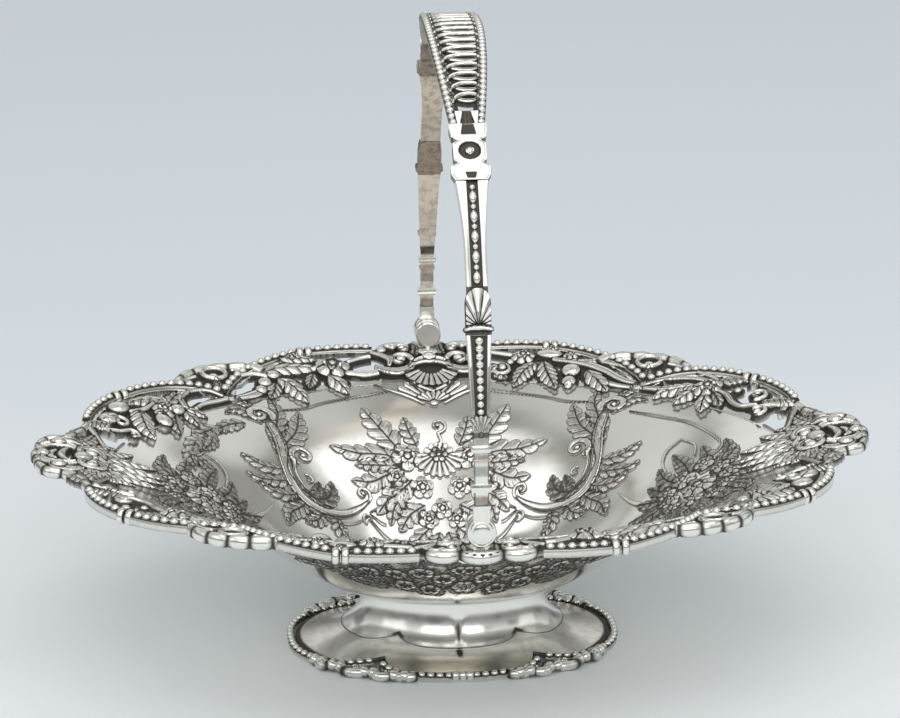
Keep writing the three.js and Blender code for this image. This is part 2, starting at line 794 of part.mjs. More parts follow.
// Foot castings are drawn with their underside at z = 0 and follow the apron up towards the cusps.
function drapeOnFoot(geometry) {
  return moveVertices(geometry, (v) => {
    v.z += footHeight(v.x, v.y) - footLip;
  });
}

function footRail(alongX) {
  const line = offset(lobe(alongX), footRailWidth / 2 + footRailGap);
  const rail = toSolid(beadedRail(line, footRailWidth, 0, footRailHeight, footBeadRadius, footBeadPitch));
  const first = new THREE.Vector2(cuspAlong, -cuspAcross);
  const second = new THREE.Vector2(cuspAlong, cuspAcross);
  const third = new THREE.Vector2(-cuspAlong, cuspAcross);
  const kept = alongX ? wedge(first, second, soldered / 2) : wedge(second, third, soldered / 2);
  return rail.intersect(toSolid(kept));
}

// The pierced scrollwork that fills the corner between two lobes of the foot.
function footScroll() {
  const on = (angle, share) =>
    new THREE.Vector2(
      (footHalfLength + share) * Math.cos(radians(angle)),
      (footHalfWidth + share) * Math.sin(radians(angle)),
    );
  const outer = smooth([on(30, 2.6), on(39, 5), on(47, 3.4), on(55, 6), on(63, 4.4), on(71, 2.8)], 9);
  const inner = smooth([on(33, -1), on(44, -2.5), on(54, -4), on(62, -2.5), on(68, -0.5)], 5);
  const pieces = [
    band(outer, (s) => 1.5 + 0.5 * Math.cos(s * Math.PI * 6), 0, footRailHeight),
    band(inner, 1.1, 0, footRailHeight),
    band([on(41, 5), on(44, -2.5), on(49, -11)], 1.2, 0, footRailHeight),
    band([on(60, 5.5), on(60, -2.5), on(56, -11)], 1.2, 0, footRailHeight),
    band([on(36, 4), on(36, -2)], 1.1, 0, footRailHeight),
    band([on(66, 4), on(65, -2)], 1.1, 0, footRailHeight),
    flower(on(52.5, -6.5), 4.2, 3, 0, footRailHeight + 0.6),
  ];
  const grow = footRailWidth + footRailGap + soldered;
  const centre = new THREE.Vector2(0, 0);
  const lobes = [lobe(true), lobe(false)].map((line) => plate([...offset(line, grow), centre], -tall, tall));
  return fuse(pieces).subtract(fuse(lobes));
}

// The hinges

function hingeLug() {
  const barrel = new THREE.CylinderGeometry(barrelRadius, barrelRadius, barrelLength, 16);
  const bore = new THREE.CylinderGeometry(pinRadius + soldered, pinRadius + soldered, barrelLength, 12);
  barrel.translate(0, barrelMiddle, pivotHeight);
  bore.translate(0, barrelMiddle + barrelFloor, pivotHeight);
  const postFoot = borderHeight(0, barrelMiddle + postFootRadius) + plateThickness + soldered;
  const postTop = pivotHeight - barrelRadius / 2;
  const post = new THREE.CylinderGeometry(postRadius, postFootRadius, postTop - postFoot, 8);
  post.rotateX(Math.PI / 2).translate(0, barrelMiddle, (postTop + postFoot) / 2);
  const knop = new THREE.SphereGeometry(postFootRadius, 8, 4);
  knop.scale(1.2, 0.85, 0.7).translate(0, barrelMiddle - 2 * soldered, postFoot + postFootRadius * 0.7);
  return fuse([barrel, post, knop]).subtract(toSolid(bore));
}

function hingePin() {
  const start = barrelMiddle - barrelLength / 2 + barrelFloor + soldered;
  const headStart = armSpan + eyeThickness / 2 + hingeGap;
  const end = headStart + pinHeadThickness / 2;
  const shaft = new THREE.CylinderGeometry(pinRadius, pinRadius, end - start, 12);
  shaft.translate(0, (start + end) / 2, pivotHeight);
  const head = new THREE.CylinderGeometry(pinHeadRadius, pinHeadRadius * 0.92, pinHeadThickness, 16);
  head.rotateX(Math.PI).translate(0, headStart + pinHeadThickness / 2, pivotHeight);
  return fuse([shaft, head]);
}

// The handle: an arch over the basket, placed by its angle from the top

function archStation(angle) {
  const t = radians(angle);
  const normal = new THREE.Vector2(armRise * Math.sin(t), armSpan * Math.cos(t)).normalize();
  return {
    point: new THREE.Vector3(0, armSpan * Math.sin(t), pivotHeight + armRise * Math.cos(t)),
    side: new THREE.Vector3(1, 0, 0),
    up: new THREE.Vector3(0, normal.x, normal.y),
  };
}

function archPoint(angle, across, out) {
  const { point, side, up } = archStation(angle);
  return point.addScaledVector(side, across).addScaledVector(up, out);
}

function archLength(from, to) {
  const steps = 24;
  let length = 0;
  for (let i = 0; i < steps; i++) {
    const a = archStation(from + ((to - from) * i) / steps).point;
    length += a.distanceTo(archStation(from + ((to - from) * (i + 1)) / steps).point);
  }
  return length;
}

// A bar along the arch whose section is a list of [across, out] points.
function archBar(from, to, steps, section) {
  const rings = Array.from({ length: steps + 1 }, (_, i) => {
    const share = i / steps;
    const angle = from + (to - from) * share;
    return section(share).map(([across, out]) => archPoint(angle, across, out));
  });
  return skin(rings);
}

function slabSection(half, bottom, top) {
  return [
    [-half, bottom],
    [half, bottom],
    [half, top],
    [-half, top],
  ];
}

function channelSection(half, thickness) {
  const inner = half - channelWall;
  const top = thickness / 2;
  return [
    [-half, -top],
    [half, -top],
    [half, top - 0.4],
    [inner, top],
    [inner - 0.2, top - channelDepth],
    [-inner + 0.2, top - channelDepth],
    [-inner, top],
    [-half, top - 0.4],
  ];
}

function archBeads(from, to, pitch, radius, width, bottom, top, acrossAt = () => 0) {
  const stationAt = (share) => {
    const station = archStation(from + (to - from) * share);
    station.point.addScaledVector(station.side, acrossAt(share));
    return station;
  };
  return beadedBar(stationAt, archLength(from, to), pitch, radius, width, bottom, top);
}

function crownHalf(angle) {
  return crownHalfWidth - (crownHalfWidth - crownHalfWidthEnd) * (angle / crownEndAngle) ** 2;
}

// The crown: two beaded rails that open towards the top, with S-scrolls between them.
function crown() {
  const low = -crownThickness / 2;
  const end = crownEndAngle;
  const pieces = [];
  for (const sign of [-1, 1]) {
    const across = (share) => sign * (crownHalf(end * (2 * share - 1)) - crownRailWidth / 2);
    pieces.push(
      archBeads(-end, end, crownBeadPitch, crownBeadRadius, crownRailWidth, low, -low - 0.4, across),
      archBar(sign * (end - 2.2), sign * end, 1, () => slabSection(crownHalfWidthEnd - 0.6, low, -low)),
    );
  }
  const span = (2 * end) / (scrollBarCount + 1);
  for (let i = 1; i <= scrollBarCount; i++) pieces.push(scrollBar(span * i - end, span));
  return fuse(pieces);
}

// One S-scroll of the crown, from one rail to the other, slanting along the arch.
function scrollBar(angle, span) {
  const half = crownHalf(angle) - crownRailWidth * 0.8;
  const steps = 3;
  const lean = angle > 0 ? 1 : -1;
  const width = angleOf(scrollBarWidth) / 2;
  const rings = Array.from({ length: steps + 1 }, (_, i) => {
    const share = i / steps;
    const across = half * (2 * share - 1);
    const middle = angle + lean * span * 0.42 * Math.sin((share - 0.5) * Math.PI * 1.5);
    return [
      archPoint(middle - width, across, -crownThickness / 2 + 0.3),
      archPoint(middle + width, across, -crownThickness / 2 + 0.3),
      archPoint(middle, across, 0.8),
    ];
  });
  return skin(rings);
}

// The block between the crown and the leg, with a ringed boss between two collars.
function boss() {
  const start = crownEndAngle + angleOf(soldered);
  const end = bossEndAngle;
  const low = -legThickness / 2;
  const middle = (start + end) / 2;
  const face = archStation(middle);
  const ring = new THREE.CylinderGeometry(bossRingRadius * 0.92, bossRingRadius, bossRingHeight, 12);
  const stud = new THREE.SphereGeometry(bossStudRadius, 8, 4);
  const facing = new THREE.Quaternion().setFromUnitVectors(new THREE.Vector3(0, 1, 0), face.up);
  for (const [piece, out] of [[ring, -low + 0.5], [stud, -low + 1.2]]) {
    const spot = archPoint(middle, 0, out);
    piece.applyQuaternion(facing).translate(spot.x, spot.y, spot.z);
  }
  return fuse([
    archBar(start, end, 4, (share) => slabSection(bossHalfWidth - 1.2 * Math.abs(2 * share - 1) ** 3, low, -low)),
    archBar(start + 1, start + 2.6, 1, () => slabSection(collarHalfWidth - 0.6, low - 0.2, -low + 0.3)),
    archBar(end - 2.4, end - 0.6, 1, () => slabSection(collarHalfWidth, low - 0.4, -low + 0.5)),
    ring,
    stud,
  ]);
}

// The angle along the arch that a short length takes up.
function angleOf(length) {
  return (length / ((armRise + armSpan) / 2)) * (180 / Math.PI);
}

// The upper leg: a tapering channel with a bead-and-reel down its middle.
function upperLeg() {
  const start = bossEndAngle + angleOf(soldered);
  const end = upperLegEndAngle - angleOf(soldered);
  const wide = collarHalfWidth - 1.4;
  const halfAt = (share) => upperLegHalfWidth + (wide - upperLegHalfWidth) * Math.max(0, 1 - share * 1.7) ** 2;
  return fuse([
    archBar(start, end, 6, (share) => channelSection(halfAt(share), legThickness)),
    archBeads(start + 1, end - 0.5, legBeadPitch * 1.35, legBeadRadius * 0.8, 2.2, -0.5, channelFloor),
  ]);
}

// The shell that covers the joint of the two legs, over a moulded ring.
function legShell() {
  const low = -legThickness / 2;
  const halfAt = (share) => shellHalfWidth * (0.62 + 0.38 * Math.sin(Math.min(1, share * 1.5) * (Math.PI / 2)));
  const start = upperLegEndAngle;
  const end = shellEndAngle - angleOf(soldered);
  const ribs = Array.from({ length: shellRibCount }, (_, i) => {
    const place = (i - (shellRibCount - 1) / 2) * shellRibSpacing;
    return archBar(start + 0.5, end - 1.5, 1, (share) => {
      const spread = place * Math.sin((1 - share) * Math.PI * 0.5 + 0.35);
      return slabSection(0.55, -low - 0.5, -low + 1.1).map(([across, out]) => [across + spread, out]);
    });
  });
  return fuse([
    archBar(start, end, 3, (share) => slabSection(halfAt(share), low, -low + 0.4)),
    archBar(end - 1.7, end - 0.2, 1, () => slabSection(shellHalfWidth + 0.2, low - 0.5, -low + 1.1)),
    ...ribs,
  ]);
}

// The lower leg: a beaded channel, a small shell, then a plain ankle with two rings.
function lowerLeg() {
  const start = shellEndAngle;
  const end = beadsEndAngle;
  const low = -legThickness / 2;
  const wide = lowerLegHalfWidth;
  const narrow = lowerLegHalfWidthEnd;
  const ring = (middle, halfLength, proud) =>
    archBar(middle - halfLength, middle + halfLength, 1, () =>
      slabSection(ankleHalfWidth + proud, low - proud / 12, -low + proud / 12),
    );
  return fuse([
    archBar(start, end, 5, (share) => channelSection(wide - (wide - narrow) * share ** 0.8, legThickness)),
    archBeads(start + 0.4, end - 0.4, legBeadPitch, legBeadRadius, 2.4, -0.5, channelFloor),
    archBar(end - 0.3, end + 2.2, 2, (share) => slabSection(narrow - 0.8 * share, low, -low + 0.9 - share)),
    archBar(end + 1, ankleEndAngle, 4, () => slabSection(ankleHalfWidth, low + 0.4, -low - 0.4)),
    ring(upperRingAngle, 0.5, 0.9),
    ring(lowerRingAngle, 0.9, 1.3),
  ]);
}

// The eye at the foot of each leg, which turns on the hinge pin.
function handleEye() {
  const disc = new THREE.CylinderGeometry(eyeRadius, eyeRadius, eyeThickness, 20);
  disc.translate(0, armSpan, pivotHeight);
  const bore = new THREE.CylinderGeometry(pinRadius + pinPlay, pinRadius + pinPlay, eyeThickness * 2, 12);
  bore.translate(0, armSpan, pivotHeight);
  const start = ankleEndAngle + angleOf(soldered);
  const section = slabSection(ankleHalfWidth + 0.6, -eyeThickness / 2 + 0.1, eyeThickness / 2);
  const neck = archBar(start, eyeNeckEndAngle, 1, () => section);
  return fuse([disc, neck]).subtract(toSolid(bore));
}

// Assembly

const basket = new THREE.Group();

function add(name, geometry, signX = 1, signY = 1) {
  const mesh = new THREE.Mesh(geometry, silver.clone());
  mesh.name = name;
  mesh.scale.set(signX, signY, 1);
  basket.add(mesh);
  return mesh;
}

const ends = [["left", -1], ["right", 1]];
const sides = [["front", -1], ["back", 1]];
const endPanelGeometry = drapeOnBorder(toGeometry(endPanel()));
const sidePanelGeometry = drapeOnBorder(toGeometry(sidePanel()));
const shellScrollGeometry = drapeOnBorder(toGeometry(shellScroll()));
const tipGeometry = drapeOnBorder(toGeometry(tipPiece()));
const hingePlateGeometry = drapeOnBorder(toGeometry(hingePlate()));
const footScrollGeometry = drapeOnFoot(toGeometry(footScroll()));
const footSideRail = drapeOnFoot(toGeometry(footRail(true)));
const footLongRail = drapeOnFoot(toGeometry(footRail(false)));
const lugGeometry = toGeometry(hingeLug());
const pinGeometry = toGeometry(hingePin());
const handleParts = {
  handle_boss: toGeometry(boss()),
  handle_upper_leg: toGeometry(upperLeg()),
  handle_shell: toGeometry(legShell()),
  handle_lower_leg: toGeometry(lowerLeg()),
  handle_eye: toGeometry(handleEye()),
};

add("bowl", toGeometry(bowl()));
add("foot_stem", footStem());
for (const [end, signX] of ends) {
  add(`border_tip_${end}`, tipGeometry, signX);
  add(`foot_bead_rail_${end}`, footSideRail, signX);
}
for (const [side, signY] of sides) {
  add(`hinge_plate_${side}`, hingePlateGeometry, 1, signY);
  add(`hinge_lug_${side}`, lugGeometry, 1, signY);
  add(`hinge_pin_${side}`, pinGeometry, 1, signY);
  add(`foot_bead_rail_${side}`, footLongRail, 1, signY);
  for (const [end, signX] of ends) {
    add(`border_end_panel_${side}_${end}`, endPanelGeometry, signX, signY);
    add(`border_side_panel_${side}_${end}`, sidePanelGeometry, signX, signY);
    add(`border_shell_${side}_${end}`, shellScrollGeometry, signX, signY);
    add(`foot_scroll_${side}_${end}`, footScrollGeometry, signX, signY);
  }
  for (const [name, geometry] of Object.entries(handleParts)) add(`${name}_${side}`, geometry, 1, signY);
}
add("handle_crown", toGeometry(crown()));

export default basket;
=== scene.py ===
"""The looks of a silver swing-handled basket on an oval pedestal foot.

Every shape is worked out in millimetres and put into its mesh in metres.
X runs along the basket, Y across it from hinge to hinge, and Z up.
"""

import json
import math

import bpy
import numpy as np
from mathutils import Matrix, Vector


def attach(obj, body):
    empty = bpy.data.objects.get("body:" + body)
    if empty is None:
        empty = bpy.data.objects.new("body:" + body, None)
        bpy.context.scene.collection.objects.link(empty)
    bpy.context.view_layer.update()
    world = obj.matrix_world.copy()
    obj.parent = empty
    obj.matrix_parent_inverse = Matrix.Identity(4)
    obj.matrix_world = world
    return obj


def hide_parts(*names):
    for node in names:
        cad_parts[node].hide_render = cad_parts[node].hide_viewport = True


bl_info = {
    "name": "Swing-handled silver basket",
    "version": (1, 0, 0),
    "blender": (4, 5, 0),
    "location": "View3D > Sidebar > Basket",
    "description": "Builds the raised, cast and chased silver of a basket around its packed solids",
    "category": "Object",
}

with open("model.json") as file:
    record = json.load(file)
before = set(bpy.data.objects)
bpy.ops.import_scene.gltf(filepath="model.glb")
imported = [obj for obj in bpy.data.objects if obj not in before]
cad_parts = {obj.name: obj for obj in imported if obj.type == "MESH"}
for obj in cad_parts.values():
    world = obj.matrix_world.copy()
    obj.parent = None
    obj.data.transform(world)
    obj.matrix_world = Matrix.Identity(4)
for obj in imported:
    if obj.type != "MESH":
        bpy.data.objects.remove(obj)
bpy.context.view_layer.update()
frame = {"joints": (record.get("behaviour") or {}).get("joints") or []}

MM = 0.001
PIVOT_HEIGHT = frame["joints"][0]["pos_m"][2]
SIDES = (("front", -1), ("back", 1))
ENDS = (("left", -1), ("right", 1))
ACROSS = (1.0, 0.0, 0.0)
UP = (0.0, 0.0, 1.0)


# Settings

def length(name, description, default):
    """One of the basket's lengths, in metres."""
    return bpy.props.FloatProperty(name=name, description=description, default=default, unit="LENGTH")


def colour(name, description, default):
    """One of the colours of the basket or its stage."""
    return bpy.props.FloatVectorProperty(
        name=name, description=description, subtype="COLOR", size=3, default=default, min=0, max=1)


class BasketSettings(bpy.types.PropertyGroup):
    """Sizes and colours of the basket."""

    bowl_half_length: length(
        "Bowl half length", "From the middle of the bowl to its edge, along the basket", 0.150)
    bowl_half_width: length(
        "Bowl half width", "From the middle of the bowl to its edge, across the basket", 0.108)
    bowl_edge_height: length("Bowl edge height", "Height of the bowl's edge above the table", 0.082)
    bowl_floor_height: length("Bowl floor height", "Height of the bowl's floor above the table", 0.0286)
    border_rise: length("Border rise", "How much higher the border's rim is than the bowl's edge", 0.007)
    border_reach: length("Border reach", "How far out the border goes on climbing", 0.032)
    bead_pitch: length("Rim bead pitch", "From one bead of the rim to the next", 0.0044)
    bead_diameter: length("Rim bead diameter", "Across one bead of the rim", 0.0038)
    foot_half_length: length(
        "Foot half length", "From the middle of the foot to its edge, along the basket", 0.070)
    foot_half_width: length(
        "Foot half width", "From the middle of the foot to its edge, across the basket", 0.051)
    handle_half_span: length(
        "Handle half span", "From the middle of the basket to the handle's pivot", 0.1368)
    handle_rise: length("Handle rise", "From the pivots to the middle of the crown", 0.180)
    relief_step: length("Relief step", "Size of the grid that the cast ornament is worked out on", 0.0004)
    silver: colour("Silver", "Colour of the polished silver", (0.865, 0.862, 0.82))
    # Dark colour of the tarnish in recesses and of the shade painted under beads, rails and casting edges.
    patina_and_shade: colour("Patina", "Colour of the tarnish left in the recesses", (0.060, 0.050, 0.042))
    # Inside the handle this warm colour is a painted reflection; on the foot and ankle bands a warm tint.
    warm: colour("Warm silver", "Colour of the unpolished silver inside the handle", (0.56, 0.45, 0.345))
    floor_near: colour("Near floor", "Colour of the floor in front of the basket", (0.95, 0.985, 1.0))
    floor_far: colour("Far floor", "Colour of the floor behind the basket", (0.82, 0.885, 0.94))


def settings():
    return bpy.context.scene.basket


def mm(name):
    """One of the settings' lengths, in millimetres."""
    return getattr(settings(), name) / MM


# Solids: arrays of points, faces and values, joined before they become a mesh

class Solid:
    """Points in millimetres, faces as arrays of corner numbers, and two values at each point."""

    def __init__(self, points, faces, patina_and_shade=None, warm=None):
        self.points = np.asarray(points, float).reshape(-1, 3)
        self.faces = [np.asarray(f, np.int64) for f in faces if len(f)]
        count = len(self.points)
        self.patina_and_shade = np.zeros(count) if patina_and_shade is None else np.broadcast_to(patina_and_shade, count).astype(float)
        self.warm = np.zeros(count) if warm is None else np.broadcast_to(warm, count).astype(float)

    def mirrored(self, x=1, y=1):
        """The solid with x or y turned round, its faces still pointing outwards."""
        faces = self.faces if x * y > 0 else [f[:, ::-1] for f in self.faces]
        return Solid(self.points * (x, y, 1), faces, self.patina_and_shade, self.warm)


def joined(*solids):
    """Several solids as one."""
    starts = np.cumsum([0, *(len(solid.points) for solid in solids)])
    faces = [f + start for solid, start in zip(solids, starts) for f in solid.faces]
    points, patina_and_shade, warm = (
        np.concatenate([getattr(solid, key) for solid in solids]) for key in ("points", "patina_and_shade", "warm"))
    return Solid(points, faces, patina_and_shade, warm)


def make_piece(name, solid, slot, *nodes, crease=42):
    """Puts a solid into a mesh object that rides on the slot's body and stands for CAD nodes."""
    sizes = np.concatenate([np.full(len(f), f.shape[1]) for f in solid.faces])
    loops = np.concatenate([f.ravel() for f in solid.faces])
    mesh = bpy.data.meshes.new(name)
    mesh.vertices.add(len(solid.points))
    mesh.vertices.foreach_set("co", (solid.points * MM).astype(np.float32).ravel())
    mesh.loops.add(len(loops))
    mesh.loops.foreach_set("vertex_index", loops.astype(np.int32))
    mesh.polygons.add(len(sizes))
    mesh.polygons.foreach_set("loop_start", np.r_[0, np.cumsum(sizes)[:-1]].astype(np.int32))
    mesh.update(calc_edges=True)
    mesh.validate()
    for key in ("patina_and_shade", "warm"):
        attribute = mesh.attributes.new(key, "FLOAT", "POINT")
        attribute.data.foreach_set("value", held(getattr(solid, key)).astype(np.float32))
    mesh.shade_smooth()
    mesh.set_sharp_from_angle(angle=math.radians(crease))
    mesh.materials.append(silver_material(slot))
    piece = bpy.data.objects.new(name, mesh)
    bpy.context.scene.collection.objects.link(piece)
    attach(piece, "handle" if slot == "handle_silver" else "basket")
    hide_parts(*nodes)


# Curves in plan

def held(values):
    """Values kept between 0 and 1."""
    return np.clip(values, 0, 1)


def unit(vectors):
    """Each vector made one long."""
    return vectors / np.linalg.norm(vectors, axis=-1, keepdims=True)


def pairs(places):
    """Numbers as rows of two."""
    return np.reshape(places, (-1, 2)).astype(float)


def full_turn(count):
    """Angles at even steps all the way round."""
    return np.linspace(0, 2 * np.pi, count, endpoint=False)


def level(value):
    """A height or a depth that is the same everywhere."""
    return lambda x, y: np.full(len(x), value)


def groove(phase, spacing, width):
    """A line wherever the phase is a whole number, as dark as 1 in its middle."""
    part = phase % 1
    return held(1 - np.minimum(part, 1 - part) * spacing / width)


def cubic(values, count):
    """A curve from the first value to the last that leaves and comes in by the way of the two between."""
    t = np.linspace(0, 1, count)
    weights = [(1 - t) ** 3, 3 * t * (1 - t) ** 2, 3 * t**2 * (1 - t), t**3]
    return sum(weight * value for weight, value in zip(weights, values))


def smooth_path(points, steps=7):
    """A curve through the points: a cubic between each two, its slope at each half the step across it."""
    p = np.asarray(points, float)
    p = np.vstack([2 * p[0] - p[1], p, 2 * p[-1] - p[-2]])
    t = np.linspace(0, 1, steps, endpoint=False)[None, :, None]
    a, b, c, d = (p[k:len(p) - 3 + k, None] for k in range(4))
    curve = 0.5 * (2 * b + (c - a) * t + (2 * a - 5 * b + 4 * c - d) * t**2 + (3 * b - a - 3 * c + d) * t**3)
    return np.vstack([curve.reshape(-1, p.shape[1]), p[-2]])


def path_lengths(path):
    return np.r_[0, np.cumsum(np.linalg.norm(np.diff(path, axis=0), axis=1))]


def even_path(path, count):
    """The same path at evenly spaced places along its length."""
    lengths = path_lengths(path)
    where = np.linspace(0, lengths[-1], count)
    return np.stack([np.interp(where, lengths, path[:, k]) for k in range(path.shape[1])], 1)


def spiral(centre, start_radius, end_radius, start_angle, turn, steps=22):
    """A path whose radius falls evenly from one value to the other as its angle turns."""
    share = np.linspace(0, 1, steps)
    radius = start_radius + (end_radius - start_radius) * share
    angle = np.radians(start_angle + turn * share)
    return np.stack([centre[0] + radius * np.cos(angle), centre[1] + radius * np.sin(angle)], 1)


def bowed(start, end, height, steps=40):
    """An arc between two points that bows away from the middle of the basket by a height."""
    start, end = np.asarray(start, float), np.asarray(end, float)
    chord = end - start
    half = np.linalg.norm(chord) / 2
    radius = (half**2 + height**2) / (2 * height)
    along = chord / (2 * half)
    out = np.array([along[1], -along[0]])
    middle = (start + end) / 2
    out = out if out @ middle > 0 else -out
    angle = np.linspace(-1, 1, steps + 1)[:, None] * math.asin(half / radius)
    return middle + out * (height - radius) + along * radius * np.sin(angle) + out * radius * np.cos(angle)


def nearest(x, y, path):
    """For each place: how far a path is, the share of its length that is nearest, and the side it is on."""
    lengths = path_lengths(path)
    best = np.full(x.shape, 1e9)
    share = np.zeros(x.shape)
    side = np.zeros(x.shape)
    for a, b, start in zip(path[:-1], path[1:], lengths):
        span = b - a
        size = max(span @ span, 1e-12)
        part = held(((x - a[0]) * span[0] + (y - a[1]) * span[1]) / size)
        dx, dy = x - a[0] - part * span[0], y - a[1] - part * span[1]
        far = np.hypot(dx, dy)
        closer = far < best
        best = np.where(closer, far, best)
        share = np.where(closer, (start + part * math.sqrt(size)) / lengths[-1], share)
        side = np.where(closer, np.sign(span[0] * dy - span[1] * dx), side)
    return best, share, side


def inside_of(x, y, outline):
    """Signed distance to a closed outline, positive inside it."""
    outline = np.asarray(outline, float)
    closed = np.vstack([outline, outline[:1]])
    far = nearest(x, y, closed)[0]
    within = np.zeros(x.shape, bool)
    for (ax, ay), (bx, by) in zip(closed[:-1], closed[1:]):
        if ay == by:
            continue
        crosses = (ay > y) != (by > y)
        within ^= crosses & (x < ax + (y - ay) * (bx - ax) / (by - ay))
    return np.where(within, far, -far)


# The relief engine: forms laid on a flat drawing, then cut out and carried to a surface

def blurred(field, reach):
    """The field averaged over its neighbours with weights that fall off as a bell curve."""
    taps = np.arange(-reach * 2, reach * 2 + 1)
    weights = np.exp(-0.5 * (taps / reach) ** 2)
    weights /= weights.sum()
    for axis in (0, 1):
        wide = np.pad(field, [(len(taps) // 2,) * 2 if k == axis else (0, 0) for k in (0, 1)], mode="edge")
        length = field.shape[axis]
        field = sum(w * np.take(wide, range(k, k + length), axis) for k, w in enumerate(weights))
    return field


OUTLINE_ROOM = 2.4


class Relief:
    """A drawing on a grid: the height of the metal, the outline's signed distance and the engraved lines."""

    def __init__(self, low, high, step, pen=1.0):
        self.step, self.pen = step, pen
        self.u = np.arange(low[0], high[0] + step, step)
        self.v = np.arange(low[1], high[1] + step, step)
        self.x, self.y = np.meshgrid(self.u, self.v, indexing="ij")
        self.height = np.zeros(self.x.shape)
        self.metal = np.full(self.x.shape, -5.0)
        self.line = np.zeros(self.x.shape)

    def window(self, places, reach):
        """The part of the grid within reach of some places, with room for a dark outline."""
        low, high = np.min(places, 0) - reach - OUTLINE_ROOM, np.max(places, 0) + reach + OUTLINE_ROOM
        i = np.clip(np.searchsorted(self.u, (low[0], high[0])), 0, len(self.u))
        j = np.clip(np.searchsorted(self.v, (low[1], high[1])), 0, len(self.v))
        return slice(i[0], i[1]), slice(j[0], j[1])

    def beside(self, path, reach):
        """The part of the grid within reach of a path, and what nearest gives there."""
        part = self.window(path, reach)
        return part, *nearest(self.x[part], self.y[part], path)

    def around(self, centre, reach):
        """The part of the grid within reach of a place, and the way there along x and y."""
        (x, y), part = np.ravel(centre), self.window([np.ravel(centre)], reach)
        return part, self.x[part] - x, self.y[part] - y

    def lay(self, window, reach, rise, line=0.0, outline=0.75):
        """Lays a form: reach is the signed distance inside its outline, rise its height, line its engraving.
        A dark outline runs round it on whatever lies below."""
        height, metal, dark = self.height[window], self.metal[window], self.line[window]
        outline = outline * self.pen
        over = (reach > 0) & (rise > height)
        edge = held(1 + reach / outline) * (reach <= 0)
        np.maximum(dark, edge, out=dark)
        inner = held(1 - reach / (0.55 * outline))
        dark[over] = np.maximum(np.broadcast_to(line, reach.shape), 0.75 * inner)[over]
        height[over] = np.broadcast_to(rise, reach.shape)[over]
        np.maximum(metal, reach, out=metal)

    def plate(self, reach, height, line):
        """A flat sheet under everything else."""
        self.height[reach > 0] = height
        self.line[reach > 0] = line
        self.metal = np.maximum(self.metal, reach)

    def web(self, reach, margin, height, line):
        """Metal between the forms, as wide as a margin round each and no further than reach."""
        spare = np.minimum(reach, self.metal + margin)
        bare = (self.height <= 0) & (spare > 0)
        self.height[bare] = height
        self.line[bare] = np.maximum(self.line[bare], np.broadcast_to(line, spare.shape)[bare])
        self.metal = np.maximum(self.metal, spare)

    def cut(self, reach):
        """An opening: reach is the signed distance inside it."""
        self.metal = np.minimum(self.metal, -reach)

    def keep(self, reach):
        """Everything outside is cut away: reach is the signed distance inside."""
        self.metal = np.minimum(self.metal, reach)

    def patina_and_shade(self, depth, spread):
        """How dark each place is: its engraving, or how far it lies below the metal around it."""
        around = blurred(self.height, max(1, int(round(spread / self.step))))
        hollow = held((around - self.height) / depth)
        return held(np.maximum(self.line * 0.9, hollow * 0.85))

    # Forms

    def frond(self, spine, width, rise, lobes=5, teeth=0.34, hatch=4, lean=0.8, shade=0.5):
        """An acanthus leaf along a bent spine: lobes that lean forward, a dark midrib, a vein to the notch
        between each two lobes and fine hatching between the veins."""
        path = smooth_path(spine)
        part, far, share, side = self.beside(path, width * 0.6)
        envelope = width / 2 * np.sin(np.pi * np.clip(share, 0.001, 1) ** 0.75) ** 0.7 + 0.15
        phase = lobes * share - lean * np.clip(far / (width / 2), 0, 1.3) + 0.13 * side
        swell = np.sin(np.pi * (phase - np.floor(phase))) ** 0.6
        edge = envelope * (1 - teeth * (1 - swell))
        across = held(far / (edge + 1e-6))
        dome = rise * (0.34 + 0.66 * (1 - across**2)) * (0.78 + 0.22 * swell)
        spacing = path_lengths(path)[-1] / lobes
        vein = groove(phase, spacing, 0.46 * self.pen) * (across > 0.15)
        fine = groove(phase * hatch, spacing / hatch, 0.3 * self.pen) * (across > 0.25)
        middle = held(1 - far / (0.42 * self.pen)) * (share < 0.95)
        tone = shade * 0.75 * held(1 - swell * across)
        dark = np.max([vein * 0.9, middle * 0.95, fine * shade * 1.3, tone], axis=0)
        self.lay(part, edge - far, dome - 0.3 * rise * np.exp(-(far / 0.45) ** 2), held(dark), 0.7)

    def ribbon(self, points, widths, rise, hollow=0.0, lines=(), smooth=True, outline=0.75):
        """A band along a curve. Its section is a round bead, or a channel between raised edges where hollow
        is 1. Each engraved line is given by its place across it, from -1 to 1."""
        path = smooth_path(points) if smooth else np.asarray(points, float)
        wide = np.atleast_1d(widths) / 2
        part, far, share, side = self.beside(path, wide.max())
        half = np.interp(share, np.linspace(0, 1, len(wide)), wide)
        across = held(far / half)
        bead = 0.42 + 0.58 * (1 - across**2)
        channel = 0.45 + 0.55 * held(1 - ((across - 0.74) / 0.26) ** 2) * (across < 1)
        dark = np.zeros(far.shape)
        for place in np.atleast_1d(lines):
            dark = np.maximum(dark, held(1 - np.abs(far * side / half - place) * half / (0.36 * self.pen)))
        self.lay(part, half - far, rise * ((1 - hollow) * bead + hollow * channel), dark * 0.8, outline)

    def volute(self, centre, radius, start, turn, width, rise, ball=0.0, hollow=0.0, tail=None):
        """A band that winds in to a centre, with a ball there if one is given, and a tail leading to it."""
        path = spiral(np.ravel(centre), radius, radius * 0.18, start, turn)
        if tail is not None:
            path = np.vstack([smooth_path(np.vstack([tail, path[:1]]))[:-1], path])
        self.ribbon(path, (width * 1.1, width, width * 0.6), rise, hollow, smooth=False)
        if ball:
            self.ball(centre, ball, rise * 1.25)

